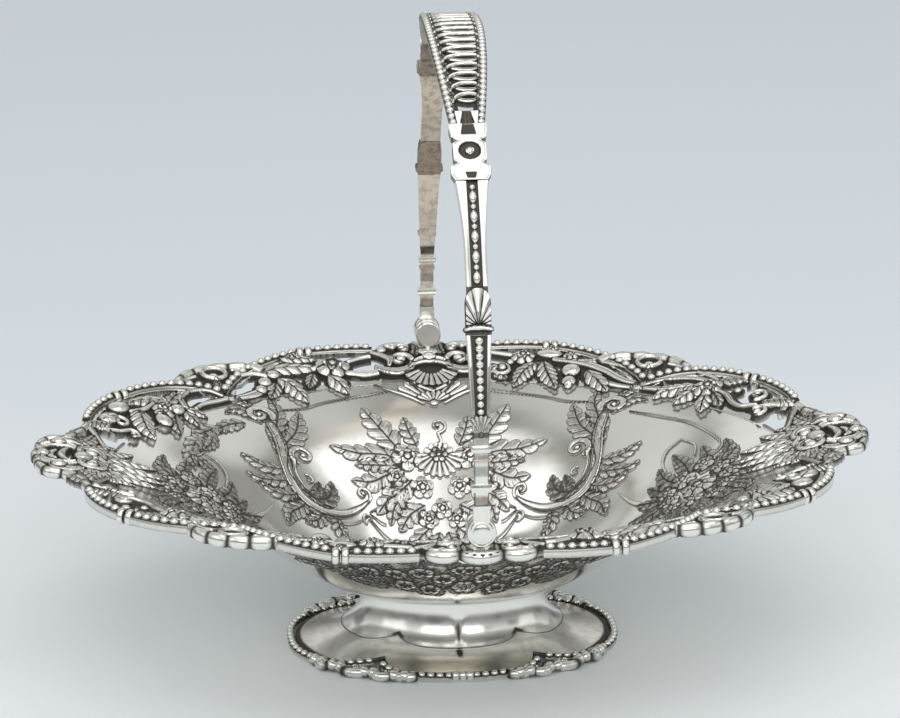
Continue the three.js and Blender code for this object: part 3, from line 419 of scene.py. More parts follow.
    def ball(self, centre, radius, rise, stretch=1.0, angle=0.0, outline=0.7):
        """A dome, round or oval."""
        part, x, y = self.around(centre, max(radius, radius * stretch))
        c, s = math.cos(math.radians(angle)), math.sin(math.radians(angle))
        far = np.hypot((x * c + y * s) / stretch, y * c - x * s)
        dome = np.sqrt(held(1 - (far / radius) ** 2))
        self.lay(part, radius - far, rise * (0.35 + 0.65 * dome), 0.0, outline)

    def flower(self, centre, radius, rise, petals=5, turn=0.0, eye=0.24):
        """An open flower: each petal a shallow dome with fine rays, parted by dark lines, round a ball."""
        part, x, y = self.around(centre, radius)
        far = np.hypot(x, y)
        angle = np.arctan2(y, x) - math.radians(turn)
        petal = np.abs(np.cos(petals * angle / 2))
        edge = radius * (0.72 + 0.28 * petal**0.6)
        out = held(far / edge)
        bulge = 0.45 + 0.55 * np.sin(np.pi * np.clip(out, 0.05, 1) ** 0.8)
        dome = rise * bulge * (0.72 + 0.28 * petal**0.5)
        parting = held(1 - petal * far * 1.1 / (0.8 * self.pen)) * (out > 0.2)
        rays = held(np.sin(petals * 4 * angle) * 1.6 - 0.9) * (out < 0.72) * (out > 0.25)
        tone = 0.7 * held(1 - out * 1.4)
        self.lay(part, edge - far, dome, np.max([parting, rays * 0.8, tone], axis=0), 0.8)
        whorl = np.abs(np.cos(petals * angle / 2 + np.pi / 2))
        inner = radius * (0.34 + 0.20 * whorl**0.7)
        split = np.maximum(held(1 - whorl * far / (0.9 * self.pen)), 0.5 * (far < radius * eye * 1.35))
        self.lay(part, inner - far, dome + 0.25 * rise * (far < inner), split, 0.48)
        self.ball(centre, radius * eye, rise * 1.25)

    def fan(self, centre, direction, radius, spread, ribs, rise, inner=0.12):
        """A shell: ribs that spread from a centre to a scalloped edge, each one rounded."""
        part, x, y = self.around(centre, radius)
        far = np.hypot(x, y)
        angle = np.degrees(np.arctan2(y, x)) - direction
        angle = (angle + 180) % 360 - 180
        place = (angle / spread + 0.5) * ribs
        lobe = np.abs(np.sin(np.pi * (place - np.floor(place))))
        edge = radius * (0.86 + 0.14 * lobe**0.7)
        side = (spread / 2 - np.abs(angle)) * math.pi / 180 * far
        reach = np.minimum(np.minimum(edge - far, far - radius * inner), side)
        height = rise * (0.5 + 0.5 * lobe) * (0.6 + 0.4 * held(far / radius))
        self.lay(part, reach, height, groove(place, far * math.radians(spread) / ribs, 0.32) * 0.85, 0.8)


BARE = -9.0


def cut_grid(metal):
    """Splits a grid's cells into triangles and cuts them along metal = 0, keeping the positive side.
    Each new point is a blend of two grid points. Returns the two, the blend and the triangles."""
    index = np.arange(metal.size).reshape(metal.shape)
    value = metal.ravel()
    first, second, blend = [index.ravel()], [index.ravel()], [np.zeros(metal.size)]
    cuts, count = [], metal.size
    low, high = index[:-1, :-1], index[1:, 1:]
    for a, b in ((index[:-1], index[1:]), (index[:, :-1], index[:, 1:]), (low, high)):
        va, vb = value[a], value[b]
        crossed = (va > 0) != (vb > 0)
        number = np.full(a.shape, -1)
        number[crossed] = count + np.arange(crossed.sum())
        count += int(crossed.sum())
        cuts.append(number)
        first.append(a[crossed])
        second.append(b[crossed])
        blend.append(np.clip(va[crossed] / (va[crossed] - vb[crossed]), 0.03, 0.97))
    along_u, along_v, slanted = cuts
    triangles = []
    for corners, edges in (
        ((low, index[1:, :-1], high), (along_u[:, :-1], along_v[1:], slanted)),
        ((low, high, index[:-1, 1:]), (slanted, along_u[:, 1:], along_v[:-1])),
    ):
        p, e = [q.ravel() for q in corners], [q.ravel() for q in edges]
        s = [value[q] > 0 for q in p]
        whole = s[0] & s[1] & s[2]
        triangles.append(np.stack([q[whole] for q in p], 1))
        for a, b, c in ((0, 1, 2), (1, 2, 0), (2, 0, 1)):
            alone, pair = s[a] & ~s[b] & ~s[c], ~s[a] & s[b] & s[c]
            for on, three in (
                (alone, (p[a], e[a], e[c])), (pair, (p[b], p[c], e[c])), (pair, (p[b], e[c], e[a]))):
                triangles.append(np.stack([q[on] for q in three], 1))
    return (np.concatenate(parts) for parts in (first, second, blend, triangles))


def cast(relief, surface, under, back_warm=0.0, depth=0.5, spread=1.3, edge=0.5):
    """A closed solid from a relief: its top lies on a surface, raised by the relief, and its back under it.
    surface(x, y) gives points and normals, and under(x, y) how far below the surface the back is."""
    first, second, blend, triangles = cut_grid(relief.metal)
    used, triangles = np.unique(triangles, return_inverse=True)
    triangles = triangles.reshape(-1, 3)
    first, second, blend = first[used], second[used], blend[used]

    def at(field):
        flat = field.ravel()
        return flat[first] * (1 - blend) + flat[second] * blend

    # Bare places beside the metal take its height, so that its edge doesn't drop before it is cut
    kept = np.pad(np.where(relief.metal > 0, relief.height, BARE), 1, constant_values=BARE)
    wide, tall = relief.height.shape
    beside = np.max([kept[i:i + wide, j:j + tall] for i in range(3) for j in range(3)], axis=0)
    height = np.where((relief.metal > 0) | (beside <= BARE), relief.height, beside)

    x, y = at(relief.x), at(relief.y)
    point, normal = surface(x, y)
    patina_and_shade = at(relief.patina_and_shade(depth, spread))
    # Painted shade on the walls: where the outline is cut, its dark is kept, held to edge.
    patina_and_shade = np.where(blend > 0, np.minimum(patina_and_shade, edge), patina_and_shade)
    top = point + normal * at(height)[:, None]
    back = point - normal * under(x, y)[:, None]
    count = len(x)
    edges = np.concatenate([triangles[:, (0, 1)], triangles[:, (1, 2)], triangles[:, (2, 0)]])
    forth, reverse = edges @ (count, 1), edges @ (1, count)
    a, b = edges[~np.isin(forth, reverse)].T
    walls = np.stack([a, a + count, b + count, b], 1)
    # The back is painted at 0.25 as shade under the casting.
    return Solid(
        np.concatenate([top, back]), [triangles, triangles[:, ::-1] + count, walls],
        np.r_[patina_and_shade, np.full(count, 0.25)], np.repeat((0.0, back_warm), count))


# Sweeps, rings and beads

def swept(points, sides, ups, profile, patina_and_shade=0):
    """A profile of (across, out) places carried along a path, joined ring to ring and capped at open ends."""
    profile = np.asarray(profile, float)
    if profile.ndim == 2:
        profile = np.broadcast_to(profile, (len(points), *profile.shape))
    sides, ups = np.broadcast_to(sides, points.shape), np.broadcast_to(ups, points.shape)
    rings, size = profile.shape[:2]
    place = points[:, None] + sides[:, None] * profile[..., :1] + ups[:, None] * profile[..., 1:]
    place = place.reshape(-1, 3)
    index = np.arange(rings * size).reshape(rings, size)
    rows = np.arange(rings - 1)
    around = np.roll(np.arange(size), -1)
    quads = np.stack([index[rows], index[rows][:, around], index[rows + 1][:, around], index[rows + 1]], -1)
    ends = np.stack([place[index[0]].mean(0), place[index[-1]].mean(0)])
    start_cap = np.stack([np.full(size, len(place)), index[0][around], index[0]], 1)
    end_cap = np.stack([np.full(size, len(place) + 1), index[-1], index[-1][around]], 1)
    patina_and_shade = np.r_[np.broadcast_to(patina_and_shade, len(place)), 0, 0]
    return outward(Solid(np.vstack([place, ends]), [quads.reshape(-1, 4), start_cap, end_cap], patina_and_shade))


def outward(solid):
    """The solid with its faces turned round if its volume comes out negative."""
    volume = 0.0
    for f in solid.faces:
        p = solid.points[f]
        for k in range(1, f.shape[1] - 1):
            volume += np.einsum("ij,ij->i", p[:, 0], np.cross(p[:, k], p[:, k + 1])).sum()
    if volume < 0:
        solid.faces = [f[:, ::-1] for f in solid.faces]
    return solid


def side_and_up(along):
    """The level direction to the left of each step of a path, and the direction square to both."""
    along = unit(along)
    side = unit(np.column_stack([-along[:, 1], along[:, 0], np.zeros(len(along))]))
    return side, np.cross(along, side)


def plan_frame(path, height):
    """Points of a plan path at given heights, with the side and up directions at each."""
    points = np.column_stack([path, height])
    return points, *side_and_up(np.gradient(points, axis=0))


def ring_faces(rings, size, poles=2):
    """Faces between rings of points, and a fan from each end ring to one of the poles that follow them."""
    index = np.arange(rings * size).reshape(rings, size)
    after = np.roll(index, -1, 1)
    quads = np.stack([index[:-1], index[1:], after[1:], after[:-1]], -1).reshape(-1, 4)
    fans = [
        np.stack([np.full(size, rings * size), index[0], after[0]], 1),
        np.stack([np.full(size, rings * size + 1), after[-1], index[-1]], 1)]
    return [quads, *fans[:poles]]


def ball_grid(segments, rows, low):
    """A unit ball cut off below: rings of points from the top down to a low latitude, and its two poles."""
    latitude = np.radians(np.linspace(90, low, rows + 1)[1:])[:, None]
    turn = full_turn(segments)
    ring = np.stack([
        np.cos(latitude) * np.cos(turn), np.cos(latitude) * np.sin(turn),
        np.repeat(np.sin(latitude), segments, 1)], -1).reshape(-1, 3)
    return np.vstack([ring, (0, 0, 1), (0, 0, math.sin(math.radians(low)))]), ring_faces(rows, segments)


def beads(centres, sides, ups, radii, segments=10, rows=4, low=-50):
    """A row of balls, each with its pole along its own up direction, and dark at its foot: tarnish and
    painted shade.
    """
    shape, faces = ball_grid(segments, rows, low)
    sides, ups = np.broadcast_to(sides, centres.shape), np.broadcast_to(ups, centres.shape)
    axes = (sides, np.cross(ups, sides), ups)
    radii = np.broadcast_to(radii, len(centres))[:, None, None]
    place = centres[:, None] + radii * sum(
        shape[None, :, k:k + 1] * axis[:, None] for k, axis in enumerate(axes))
    start = (np.arange(len(centres)) * len(shape))[:, None, None]
    faces = [(f[None] + start).reshape(-1, f.shape[1]) for f in faces]
    # Painted shade with the tarnish: each ball darkens from its middle down to its foot.
    return Solid(place, faces, np.tile(held(0.35 - shape[:, 2] * 1.1), len(centres)))


def bead_row(path, height_at, pitch, radius, lift):
    """Balls at an even pitch along a plan path, standing on a surface's height."""
    total = path_lengths(path)[-1]
    count = max(2, int(round(total / pitch)))
    lengths = (np.arange(count) + 0.5) * total / count
    dense = even_path(path, 200)
    table = path_lengths(dense)
    spot, ahead, back = (
        np.stack(
            [np.interp(lengths + shift, table, dense[:, k]) for k in (0, 1)],
            1) for shift in (0, 0.5, -0.5))
    side, up = side_and_up(np.column_stack([ahead - back, height_at(*ahead.T) - height_at(*back.T)]))
    return beads(np.column_stack([spot, height_at(*spot.T) + lift]), side, up, radius)


# The bowl's surface and the border's

def bowl_profile():
    """The bowl's inner profile along its length: a flat floor, then a cubic curve from floor to edge."""
    a, floor, edge = mm("bowl_half_length"), mm("bowl_floor_height") + 1.2, mm("bowl_edge_height") + 1.2
    return np.r_[0, cubic((45, 66, a - 66, a), 240)], np.r_[
        floor, cubic((floor, floor, edge - 20, edge), 240)]


def rho_of(x, y):
    """Distance from the axis as a share of the oval edge's."""
    return np.hypot(x / mm("bowl_half_length"), y / mm("bowl_half_width"))


def bowl_height(x, y):
    reach, height = bowl_profile()
    return np.interp(rho_of(x, y) * mm("bowl_half_length"), reach, height)


def outside_edge(x, y):
    """How far a place in plan lies outside the bowl's edge."""
    a, b = mm("bowl_half_length"), mm("bowl_half_width")
    rho = np.maximum(rho_of(x, y), 1e-6)
    slope = np.hypot(x / a**2, y / b**2) / rho
    return (rho - 1) / np.maximum(slope, 1e-6)


def border_height(x, y):
    """The border climbs from the edge and flattens out. Inside the edge its leaves lie on the bowl."""
    share = held(outside_edge(x, y) / mm("border_reach"))
    outer = mm("bowl_edge_height") + 1.6 + mm("border_rise") * (1 - (1 - share) ** 2)
    return np.where(outside_edge(x, y) > 0, outer, bowl_height(x, y) + 0.4)


def surface_of(height, step=0.4):
    """A surface from a height in plan: its points, and normals from the heights a step to each side."""
    def surface(x, y):
        dx = (height(x + step, y) - height(x - step, y)) / (2 * step)
        dy = (height(x, y + step) - height(x, y - step)) / (2 * step)
        return np.column_stack([x, y, height(x, y)]), unit(np.column_stack([-dx, -dy, np.ones(len(x))]))
    return surface


def rim_point(angle, out):
    """A place in plan from an angle round the bowl's edge, in degrees, and a distance outside it."""
    a, b = mm("bowl_half_length"), mm("bowl_half_width")
    t = np.radians(angle)
    normal = unit(np.stack([b * np.cos(t), a * np.sin(t)], -1))
    return np.stack([a * np.cos(t), b * np.sin(t)], -1) + np.asarray(out)[..., None] * normal


def on_rim(*places):
    """Plan places from (angle, out) pairs."""
    return rim_point(*pairs(places).T)


RIM = {
    "volute": (19.8, 21.1), "end_joint": (33.8, 27.1), "cusp": (51.2, 6.3),
    "side_joint": (70.6, 32.5), "hinge_joint": (81.3, 28.9),
}
TIP_SECTOR = 16.6
HINGE_SECTOR = 9.6


def rim_corner(name):
    return rim_point(*RIM[name])


def end_rail_path():
    first = bowed(rim_corner("volute"), rim_corner("end_joint"), 3.3, 24)
    return first, bowed(rim_corner("end_joint"), rim_corner("cusp"), 8, 40)


def side_rail_path():
    first = bowed(rim_corner("cusp"), rim_corner("side_joint"), 6, 40)
    return first, bowed(rim_corner("side_joint"), rim_corner("hinge_joint"), 1.4, 20)


def border_under(x, y):
    """The castings are a plate thick outside the bowl's edge, and lie just clear of the bowl inside it."""
    return 0.32 + 1.3 * held((outside_edge(x, y) - 0.1) / 0.9)


def sector(x, y, low, high):
    """Signed distance inside a wedge between two angles round the bowl's edge."""
    a, b = unit(rim_point(low, 20)), unit(rim_point(high, 20))
    return np.minimum(a[0] * y - a[1] * x, x * b[1] - y * b[0])


def rail(parts, trims):
    """The rim's plain deep band under its row of beads, for each stretch of the rim."""
    solids = []
    half = [(1.4, 1.75), (1.9, 1), (1.95, -1.2), (1.7, -2.3)]
    profile = [(-x, y) for x, y in half[::-1]] + half
    # Painted shade: the band is dark along its top under the beads, and a little darker at its foot.
    tone = (0.3, 0.2, 0.15, 0.8, 0.8, 0.15, 0.2, 0.3)
    for path, (start, end) in zip(parts, trims):
        dense = even_path(path, 48)
        frame_there = plan_frame(dense, border_height(*dense.T))
        solids.append(swept(*frame_there, profile, patina_and_shade=np.tile(tone, len(dense))))
        row = even_path(dense, 120)
        lengths = path_lengths(row)
        kept = row[(lengths >= start - 0.01) & (lengths <= path_lengths(dense)[-1] - end + 0.01)]
        solids.append(bead_row(kept, border_height, mm("bead_pitch"), mm("bead_diameter") / 2, 1.95))
    return solids


def collar(place, toward, radius=3.3, height=3.5, base=None, shifts=(-2, 2)):
    """Rounded bands side by side across a rail, at a joint of the beadwork."""
    place, toward = np.asarray(place, float), unit(np.asarray(toward, float))
    if base is None:
        base = border_height(*place[:, None])[0]
    turn = full_turn(20)
    across = np.array([-1, -0.8, -0.4, 0, 0.4, 0.8, 1])
    size = np.array([0.72, 0.9, 1, 1.04, 1, 0.9, 0.72])
    outline = np.stack([np.cos(turn) * radius, np.sin(turn) * height], 1) * size[:, None, None]
    # Tarnish and painted shade: each band is dark toward its two narrowing ends.
    tone = np.repeat((0.9, 0.3, 0.05, 0, 0.05, 0.3, 0.9), 20)
    paths = [place + toward * shift + toward * (across * 1.7)[:, None] for shift in shifts]
    side = (-toward[1], toward[0], 0)
    return [swept(np.column_stack([path, np.full(7, base)]), side, UP, outline, tone) for path in paths]


# The border's castings, drawn in the quarter where x and y are positive

def openings(relief, ovals):
    """Cuts oval openings, each an angle, a distance out, a longer and a shorter radius, and a turn."""
    for angle, out, longer, shorter, turn in ovals:
        x, y = rim_point(angle, out)
        dx, dy = relief.x - x, relief.y - y
        c, s = math.cos(math.radians(turn)), math.sin(math.radians(turn))
        relief.cut((1 - np.hypot((dx * c + dy * s) / longer, (dy * c - dx * s) / shorter)) * shorter)


def fill_in(relief, outline, rail_line):
    """The metal between a casting's forms: a web round each, a narrow seat along the bowl's edge and a
    hollow band beside the rail, with a dark line painted along the rail's foot as its shadow."""
    outside = outside_edge(relief.x, relief.y)
    reach = np.minimum(inside_of(relief.x, relief.y, outline), outside - 0.2)
    relief.web(reach, 1.5, 0.35, 0.55)
    seat = np.minimum(reach, 2.6 - outside)
    bare = (relief.height <= 0) & (seat > 0)
    relief.height[bare] = 0.3
    relief.line[bare] *= 0.6
    beside = 4.4 - nearest(relief.x, relief.y, rail_line)[0]
    band = np.minimum(reach, beside)
    hollow = 0.9 - 0.5 * held(beside / 2.5)
    bare = (band > 0) & (relief.height < hollow)
    relief.height[bare] = hollow[bare]
    # Painted shadow: a dark line along the foot of the rail.
    relief.line[bare] = np.clip(1.2 - np.abs(beside - 2.2) / 0.5, 0.05, 0.9)[bare]
    relief.metal = np.max([relief.metal, seat, band], axis=0)


def closed_by_centre(*paths):
    return np.vstack([*paths, [(0, 0)]])


def panel(low, high, rails, draw, ovals, first, last):
    """One casting of the border: its forms, the metal between them, its openings, and its two ends."""
    relief = Relief(low, high, mm("relief_step"))
    draw(relief, on_rim)
    near, far = rails
    fill_in(relief, closed_by_centre(near, far[1:]), np.vstack([near, far[1:]]))
    openings(relief, ovals)
    relief.keep(sector(relief.x, relief.y, first, last))
    return relief


def end_panel_flowers(relief, p):
    """End casting with the open flower: stems from the cusp, broad leaves, a flower, a scroll and a hook."""
    relief.ribbon(p(51.3, 4.5, 48, 10.4, 44, 14.4, 40, 15.6), (2.6, 3.4, 2.6), 2.2, 0.3, lines=0)
    relief.ribbon(p(50.6, 2, 47.4, 3.2, 44.6, 5.8, 42, 9), (2.4, 3.6, 3.2), 2.5, lines=-0.2)
    relief.ribbon(p(44.5, 21.4, 40.5, 20, 37, 16), (2.2, 3, 2.2), 1.9, lines=0.2)
    relief.frond(p(37.6, 15.5, 36.2, 20, 33.6, 24.2), 8.6, 2.2, 4, 0.3, 3)
    relief.frond(p(40.6, 9.8, 43.4, 6, 46.4, 1, 47.6, -4.2), 9.6, 2.6, 5, 0.3, 3, shade=0.35)
    relief.frond(p(39.6, 8.6, 41.2, 2, 42.6, -5.6), 8.6, 3, 4, 0.3, 3, shade=0.35)
    relief.frond(p(36.4, 7.4, 34.2, 4, 32.2, 0.6), 6.8, 2.6, 3, 0.2, 2)
    relief.frond(p(37.4, 5.6, 36.6, 0, 35, -6.4), 8.2, 3.1, 3, 0.22, 3, shade=0.3)
    relief.flower(p(38.4, 9.8), 7.4, 3.5, 6, 15)
    relief.ribbon(p(36, 9.6, 33.4, 8.4, 30.6, 5.2, 27.6, 4.6, 25, 8), (2.4, 3.4, 3, 2.4), 2.8, lines=0.15)
    relief.volute(p(27.6, 14.6), 4.6, 250, 430, 2.4, 2.8, ball=1.4)
    relief.volute(p(22, 4), 4.4, 100, -330, 3, 3.4, ball=2, tail=p(18.2, 16.5, 19.8, 13.2, 21.6, 11))
    relief.ribbon(p(18.8, 13.6, 16.8, 8, 15.6, 2.4), (3.2, 3, 2.4), 2.9, lines=0)
    relief.frond(p(24.6, 10.5, 22.4, 15, 19.4, 20.5), 7.6, 2.6, 6, 0.28, 2)
    relief.ball(p(31.2, 21.4), 2.1, 2.6)
    relief.ball(p(32.4, 13.6), 1.9, 2.5)


def end_panel_buds(relief, p):
    """End casting with the round buds: a looped stem at the cusp, leaves on the bowl, and two buds."""
    relief.ribbon(
        p(51, 3.4, 48.8, 11, 45.2, 13.2, 42.4, 9.8, 41.4, 4.4), (2.2, 3, 3.2, 2.8), 2.4, 0.2, lines=0)
    relief.ribbon(p(51, 2.6, 48.6, 2.6, 45.8, 3, 43.2, 1.6), (2.4, 2.8, 2.2), 2.2)
    relief.frond(p(39.6, 8.6, 37.4, 14, 33.8, 17.6, 31.6, 17), 10.4, 2.5, 5, 0.3, 3, shade=0.35)
    relief.frond(p(39.2, 8.8, 42, 12.4, 45.2, 12.4), 7.4, 2.3, 4, 0.3, 2)
    relief.frond(p(37.6, 2, 35.6, -3, 33, -10.2), 7.2, 2.4, 4, 0.28, 3)
    relief.frond(p(39.8, 1.6, 40.2, -3, 39.6, -9.4), 6.4, 2.5, 3, 0.25, 2)
    relief.frond(p(41, 3, 42.6, -1, 43.4, -6.4), 5.6, 2.3, 3, 0.25, 2)
    relief.frond(p(31.8, 12.4, 29.6, 6, 27.2, 0, 25, -7.4), 11, 2.9, 6, 0.28, 3, shade=0.35)
    relief.flower(p(36.2, 5.6), 5.8, 3.3, 5, 20)
    relief.ball(p(33.6, 0.4), 3.6, 3.4, 1.3, 60)
    relief.ball(p(39, 3.6), 3.2, 3.5, 1.2, 120)
    relief.ribbon(p(36, 12, 32.8, 11, 29.8, 12.8), (2.4, 2.8, 2.2), 2.4)
    relief.ball(p(29, 18), 4.6, 4, 1.15, 120)
    relief.ball(p(23.6, 14.6), 4.3, 3.9, 1.25, 120)
    relief.volute(p(24.2, 9.6), 4.8, 20, 380, 2.1, 2.8)
    relief.volute(p(22, 0.6), 3.6, 60, 300, 2.4, 2.8, ball=1.4, tail=p(17.6, 12.5, 19.4, 8.2, 20.6, 5.6))
    relief.frond(p(21.4, 10.5, 19.8, 15.5, 17.8, 20.4), 8.2, 2.7, 6, 0.28, 2)
    relief.frond(p(18, 12, 17.2, 6, 15.8, -0.5), 5.4, 2.6, 5, 0.28, 2)


def side_panel_leaves(relief, p):
    """Side casting: broad stems from the cusp, a bud, leaves on the bowl, and flowers by the joint."""
    relief.ribbon(
        p(52.4, 4.4, 56, 6, 60, 11.4, 64.4, 15.4, 69, 16.4), (2.6, 3.8, 4.2, 3), 2.5, 0.3, lines=0)
    relief.ribbon(p(52.6, 8.6, 56.2, 15.6, 60.4, 18, 64.6, 17), (2.4, 3.4, 2.8), 2.2, 0.3, lines=0)
    relief.ribbon(p(52.2, 1.6, 55.6, 1.6, 58.6, 3, 61.6, 6.6), (2.2, 3.2, 2.8), 2.3, lines=0)
    relief.ribbon(p(81, 22.6, 76.8, 19.8, 72.8, 18.6), (2.8, 3.6, 2.6), 2.3, lines=0)
    relief.frond(p(62.8, 9, 60.6, 4, 57.4, -3.6), 9.4, 2.7, 4, 0.25, 3, shade=0.35)
    relief.frond(p(70.8, 13.6, 69.8, 6, 67.4, -4.6), 9.6, 2.9, 6, 0.3, 3, shade=0.4)
    relief.frond(p(72, 12.4, 73.8, 6, 75.4, -4.4), 9.2, 2.8, 6, 0.3, 3, shade=0.4)
    relief.frond(p(79.6, 11.2, 78.4, 6, 76.6, 0.2), 7.6, 2.5, 4, 0.2, 3)
    relief.ball(p(70.2, 21.6), 3.6, 3, 1.7, 165)
    relief.flower(p(74.4, 17.2), 5.8, 3.3, 6, 10)
    relief.flower(p(66.6, 20.4), 3.8, 2.9, 5, 40)
    relief.ball(p(65.6, 8.4), 4.4, 3.7)
    relief.ball(p(65.4, 1.2), 3.3, 3.1)
    relief.ball(p(65.3, -1.8), 1.8, 2.3)
    for shift in (0, 2.2, 4.4):
        relief.ball(p(76.4 + 0.6 * shift, 12.4 - shift), 1.8, 2.9)
    relief.volute(p(77.6, 8), 4.6, 200, 360, 2.4, 2.6, ball=1.8)
    relief.flower(p(70.2, 27.4), 3.2, 2.6, 5, 0)


def side_panel_flower(relief, p):
    """Side casting with the large flower: a leafy stem from the cusp, and a plain stem to the hinge."""
    relief.ribbon(p(52.2, 2, 54.6, 1.4, 57.6, 2.4, 60.6, 5.2), (2.6, 4.6, 3.8), 2.6, 0.2, lines=0)
    relief.ribbon(p(52.8, 8.8, 55.6, 15.8, 59.2, 16.6, 61.6, 12.6), (2.2, 3, 2.8), 2.3)
    relief.frond(p(61, 15, 64.6, 17.2, 69.6, 14.6, 71.6, 13), 10.4, 2.7, 5, 0.3, 3, shade=0.35)
    relief.frond(p(62.8, 9, 64.6, 3, 66.2, -8.6), 10, 2.9, 5, 0.28, 3, shade=0.35)
    relief.frond(p(62, 6.6, 61, 2, 59.2, -2.6), 6.8, 2.6, 4, 0.25, 2)
    relief.frond(p(72, 7, 73.4, 1, 74.4, -6), 9, 2.9, 3, 0.2, 3, shade=0.3)
    relief.frond(p(69.6, 9.6, 68.6, 5, 67.6, 0.6), 6, 2.5, 4, 0.25, 2)
    relief.ball(p(60.2, 8.2), 3.2, 3.3)
    relief.ball(p(62.6, 12.6), 3, 3.4)
    relief.ball(p(58.6, 4), 2.6, 3)
    relief.flower(p(73.4, 13.4), 8.4, 3.8, 5, 30, 0.3)
    relief.ribbon(p(75.6, 7.6, 78.6, 6.2, 80.8, 6.6), (3.2, 4.6, 4), 2.8, 0.2)
    relief.ribbon(p(76.6, 17, 79, 19.6, 81.4, 20.4), (2.8, 3.4, 3), 2.5, lines=0)
    relief.frond(p(65.8, 26.2, 68.8, 23.6, 71.6, 20.8), 6.6, 2.7, 4, 0.28, 2)
    relief.flower(p(68.2, 26.6), 3.8, 3, 5, 0)


PANELS = {
    "end": (
        (end_panel_flowers, ((30.9, 17.6, 4, 2, 28), (24.2, 18.2, 3, 1.8, 60), (46.4, 7.6, 4.2, 1.3, 128))),
        (end_panel_buds, ((47, 7.4, 4.2, 1.9, 128), (33.6, 22, 3.2, 1.2, 130), (30.8, 8.6, 2, 1.2, 150))),
    ),
    "side": (
        (side_panel_leaves, ((56.8, 10.6, 3.6, 1.5, 150), (72.8, 25.6, 4.2, 1.2, 175), (62.8, 3, 1.8, 1, 0))),
        (side_panel_flower, ((55.8, 8.6, 5, 2.1, 150), (76, 23.2, 5.6, 1.4, 178), (76.4, 4, 3, 1.2, 0))),
    ),
}


def draw_panel(key, kind):
    draw, ovals = PANELS[key][kind]
    if key == "end":
        return panel((88, 24), (172, 108), end_rail_path(), draw, ovals, TIP_SECTOR, RIM["cusp"][0])
    return panel((20, 62), (104, 142), side_rail_path(), draw, ovals, RIM["cusp"][0], 90 - HINGE_SECTOR)


def edged(relief, half, other, inner, tone, seat, middle=None):
    """The metal between the forms of a casting whose two halves mirror each other: a web, a seat along the
    bowl's edge and a band along each half of its outer edge. Two inner corners close the outline."""
    x, y = relief.x, relief.y
    inside, outside = inside_of(x, y, np.vstack([half, inner, other[::-1]])), outside_edge(x, y)
    within = np.minimum(inside, outside - 0.2)
    relief.web(within, 1.2, 0.4, tone)
    relief.web(np.minimum(seat - outside, outside - 0.2), 40, 0.3, 0.4)
    if middle:
        relief.web(np.minimum(within, middle - np.abs(x)), 40, 0.4, 0.85)
    for edge in (other, half):
        relief.web(np.minimum(inside, 2.4 - nearest(x, y, edge)[0]), 40, 0.5, 0.5)


def tip_relief():
    """The casting at each end: crescents and an oval boss between two large C-scrolls, a nose with two balls,
    textured leaves beside them, and a bunch of long ribbed leaves that lies on the bowl."""
    a = mm("bowl_half_length")
    half = smooth_path(pairs((
        33.4, 0, 33, 3.5, 31.4, 6.4, 31.8, 11, 30, 16.8, 27.4, 20.8, 19.6, 23, 14.8, 29, 11.2, 38,
        9.6, 46.5)) + (a, 0), 4)
    relief = Relief((118, -50), (187, 50), mm("relief_step"))

    def q(*places):
        return pairs(places) * (1, mirror) + (a, 0)

    for mirror in (1, -1):
        for spine, wide in (
            ((6, 1.8, -7, 3.4, -23, 3), 6.6), ((6, 5, -4, 9.6, -20, 12.4), 7.6),
            ((7, 9, 1, 14.6, -10, 20.4), 7.2), ((11, 12, 5, 17.4, -2.4, 22.6), 6.6),
        ):
            relief.frond(q(*spine), wide, 2.5, 6, 0.16, 2, lean=1.3, shade=0.3)
        relief.frond(q(15, 20, 14.6, 28, 11.4, 37), 9.4, 2.7, 5, 0.3, 3, shade=0.6)
        relief.frond(q(13.4, 17, 9, 23, 6.4, 31), 8, 2.5, 5, 0.3, 3, shade=0.4)
        relief.ribbon(q(10.6, 44, 7.4, 35, 4.4, 26, 1.6, 19.4), (2.4, 3, 2.6, 2), 2.4, lines=0)
        relief.ribbon(
            q(26.8, 12.4, 22.8, 17.6, 17.4, 18.8, 13.2, 15.6), (2.6, 5.2, 5.8, 3), 3, 0.5, lines=-0.5)
        relief.ribbon(
            q(30, 3.4, 29, 9, 24, 12.2, 18, 11.4, 14, 7.4), (2.2, 4.4, 5.4, 5, 2.6), 3.5, 0.5, lines=0.45)
        loop = spiral((a + 8.6, 7.4 * mirror), 4.9, 4.9, 0, 360, 30)
        relief.ribbon(loop, 3.4, 3.6, 0.25, lines=0.4, smooth=False)
        relief.ball(q(8.6, 7.4), 2.4, 3.6, 1.25, 30 * mirror)
        relief.ball(q(22.6, 14.6), 3.4, 4.4)
    for out, wide, rise in ((23.8, 5, 2.6), (18.8, 7.6, 3.3)):
        relief.ribbon(
            bowed((a + out, -wide), (a + out, wide), 2.6), (1.4, 3, 3.8, 3, 1.4), rise, 0.2, smooth=False)
    relief.ribbon([(a + 5.6, -3.6), (a + 2.8, 0), (a + 5.6, 3.6)], (1.8, 3.6, 1.8), 3.2, 0.2)
    relief.ball((a + 12.4, 0), 3.8, 4.4, 1.25, 90)
    relief.ball((a + 29.4, 0), 3, 3.9)
    edged(relief, half, half * (1, -1), [(60, 30), (60, -30)], 0.75, 1.5)
    relief.keep(sector(relief.x, relief.y, -TIP_SECTOR, TIP_SECTOR))
    return relief


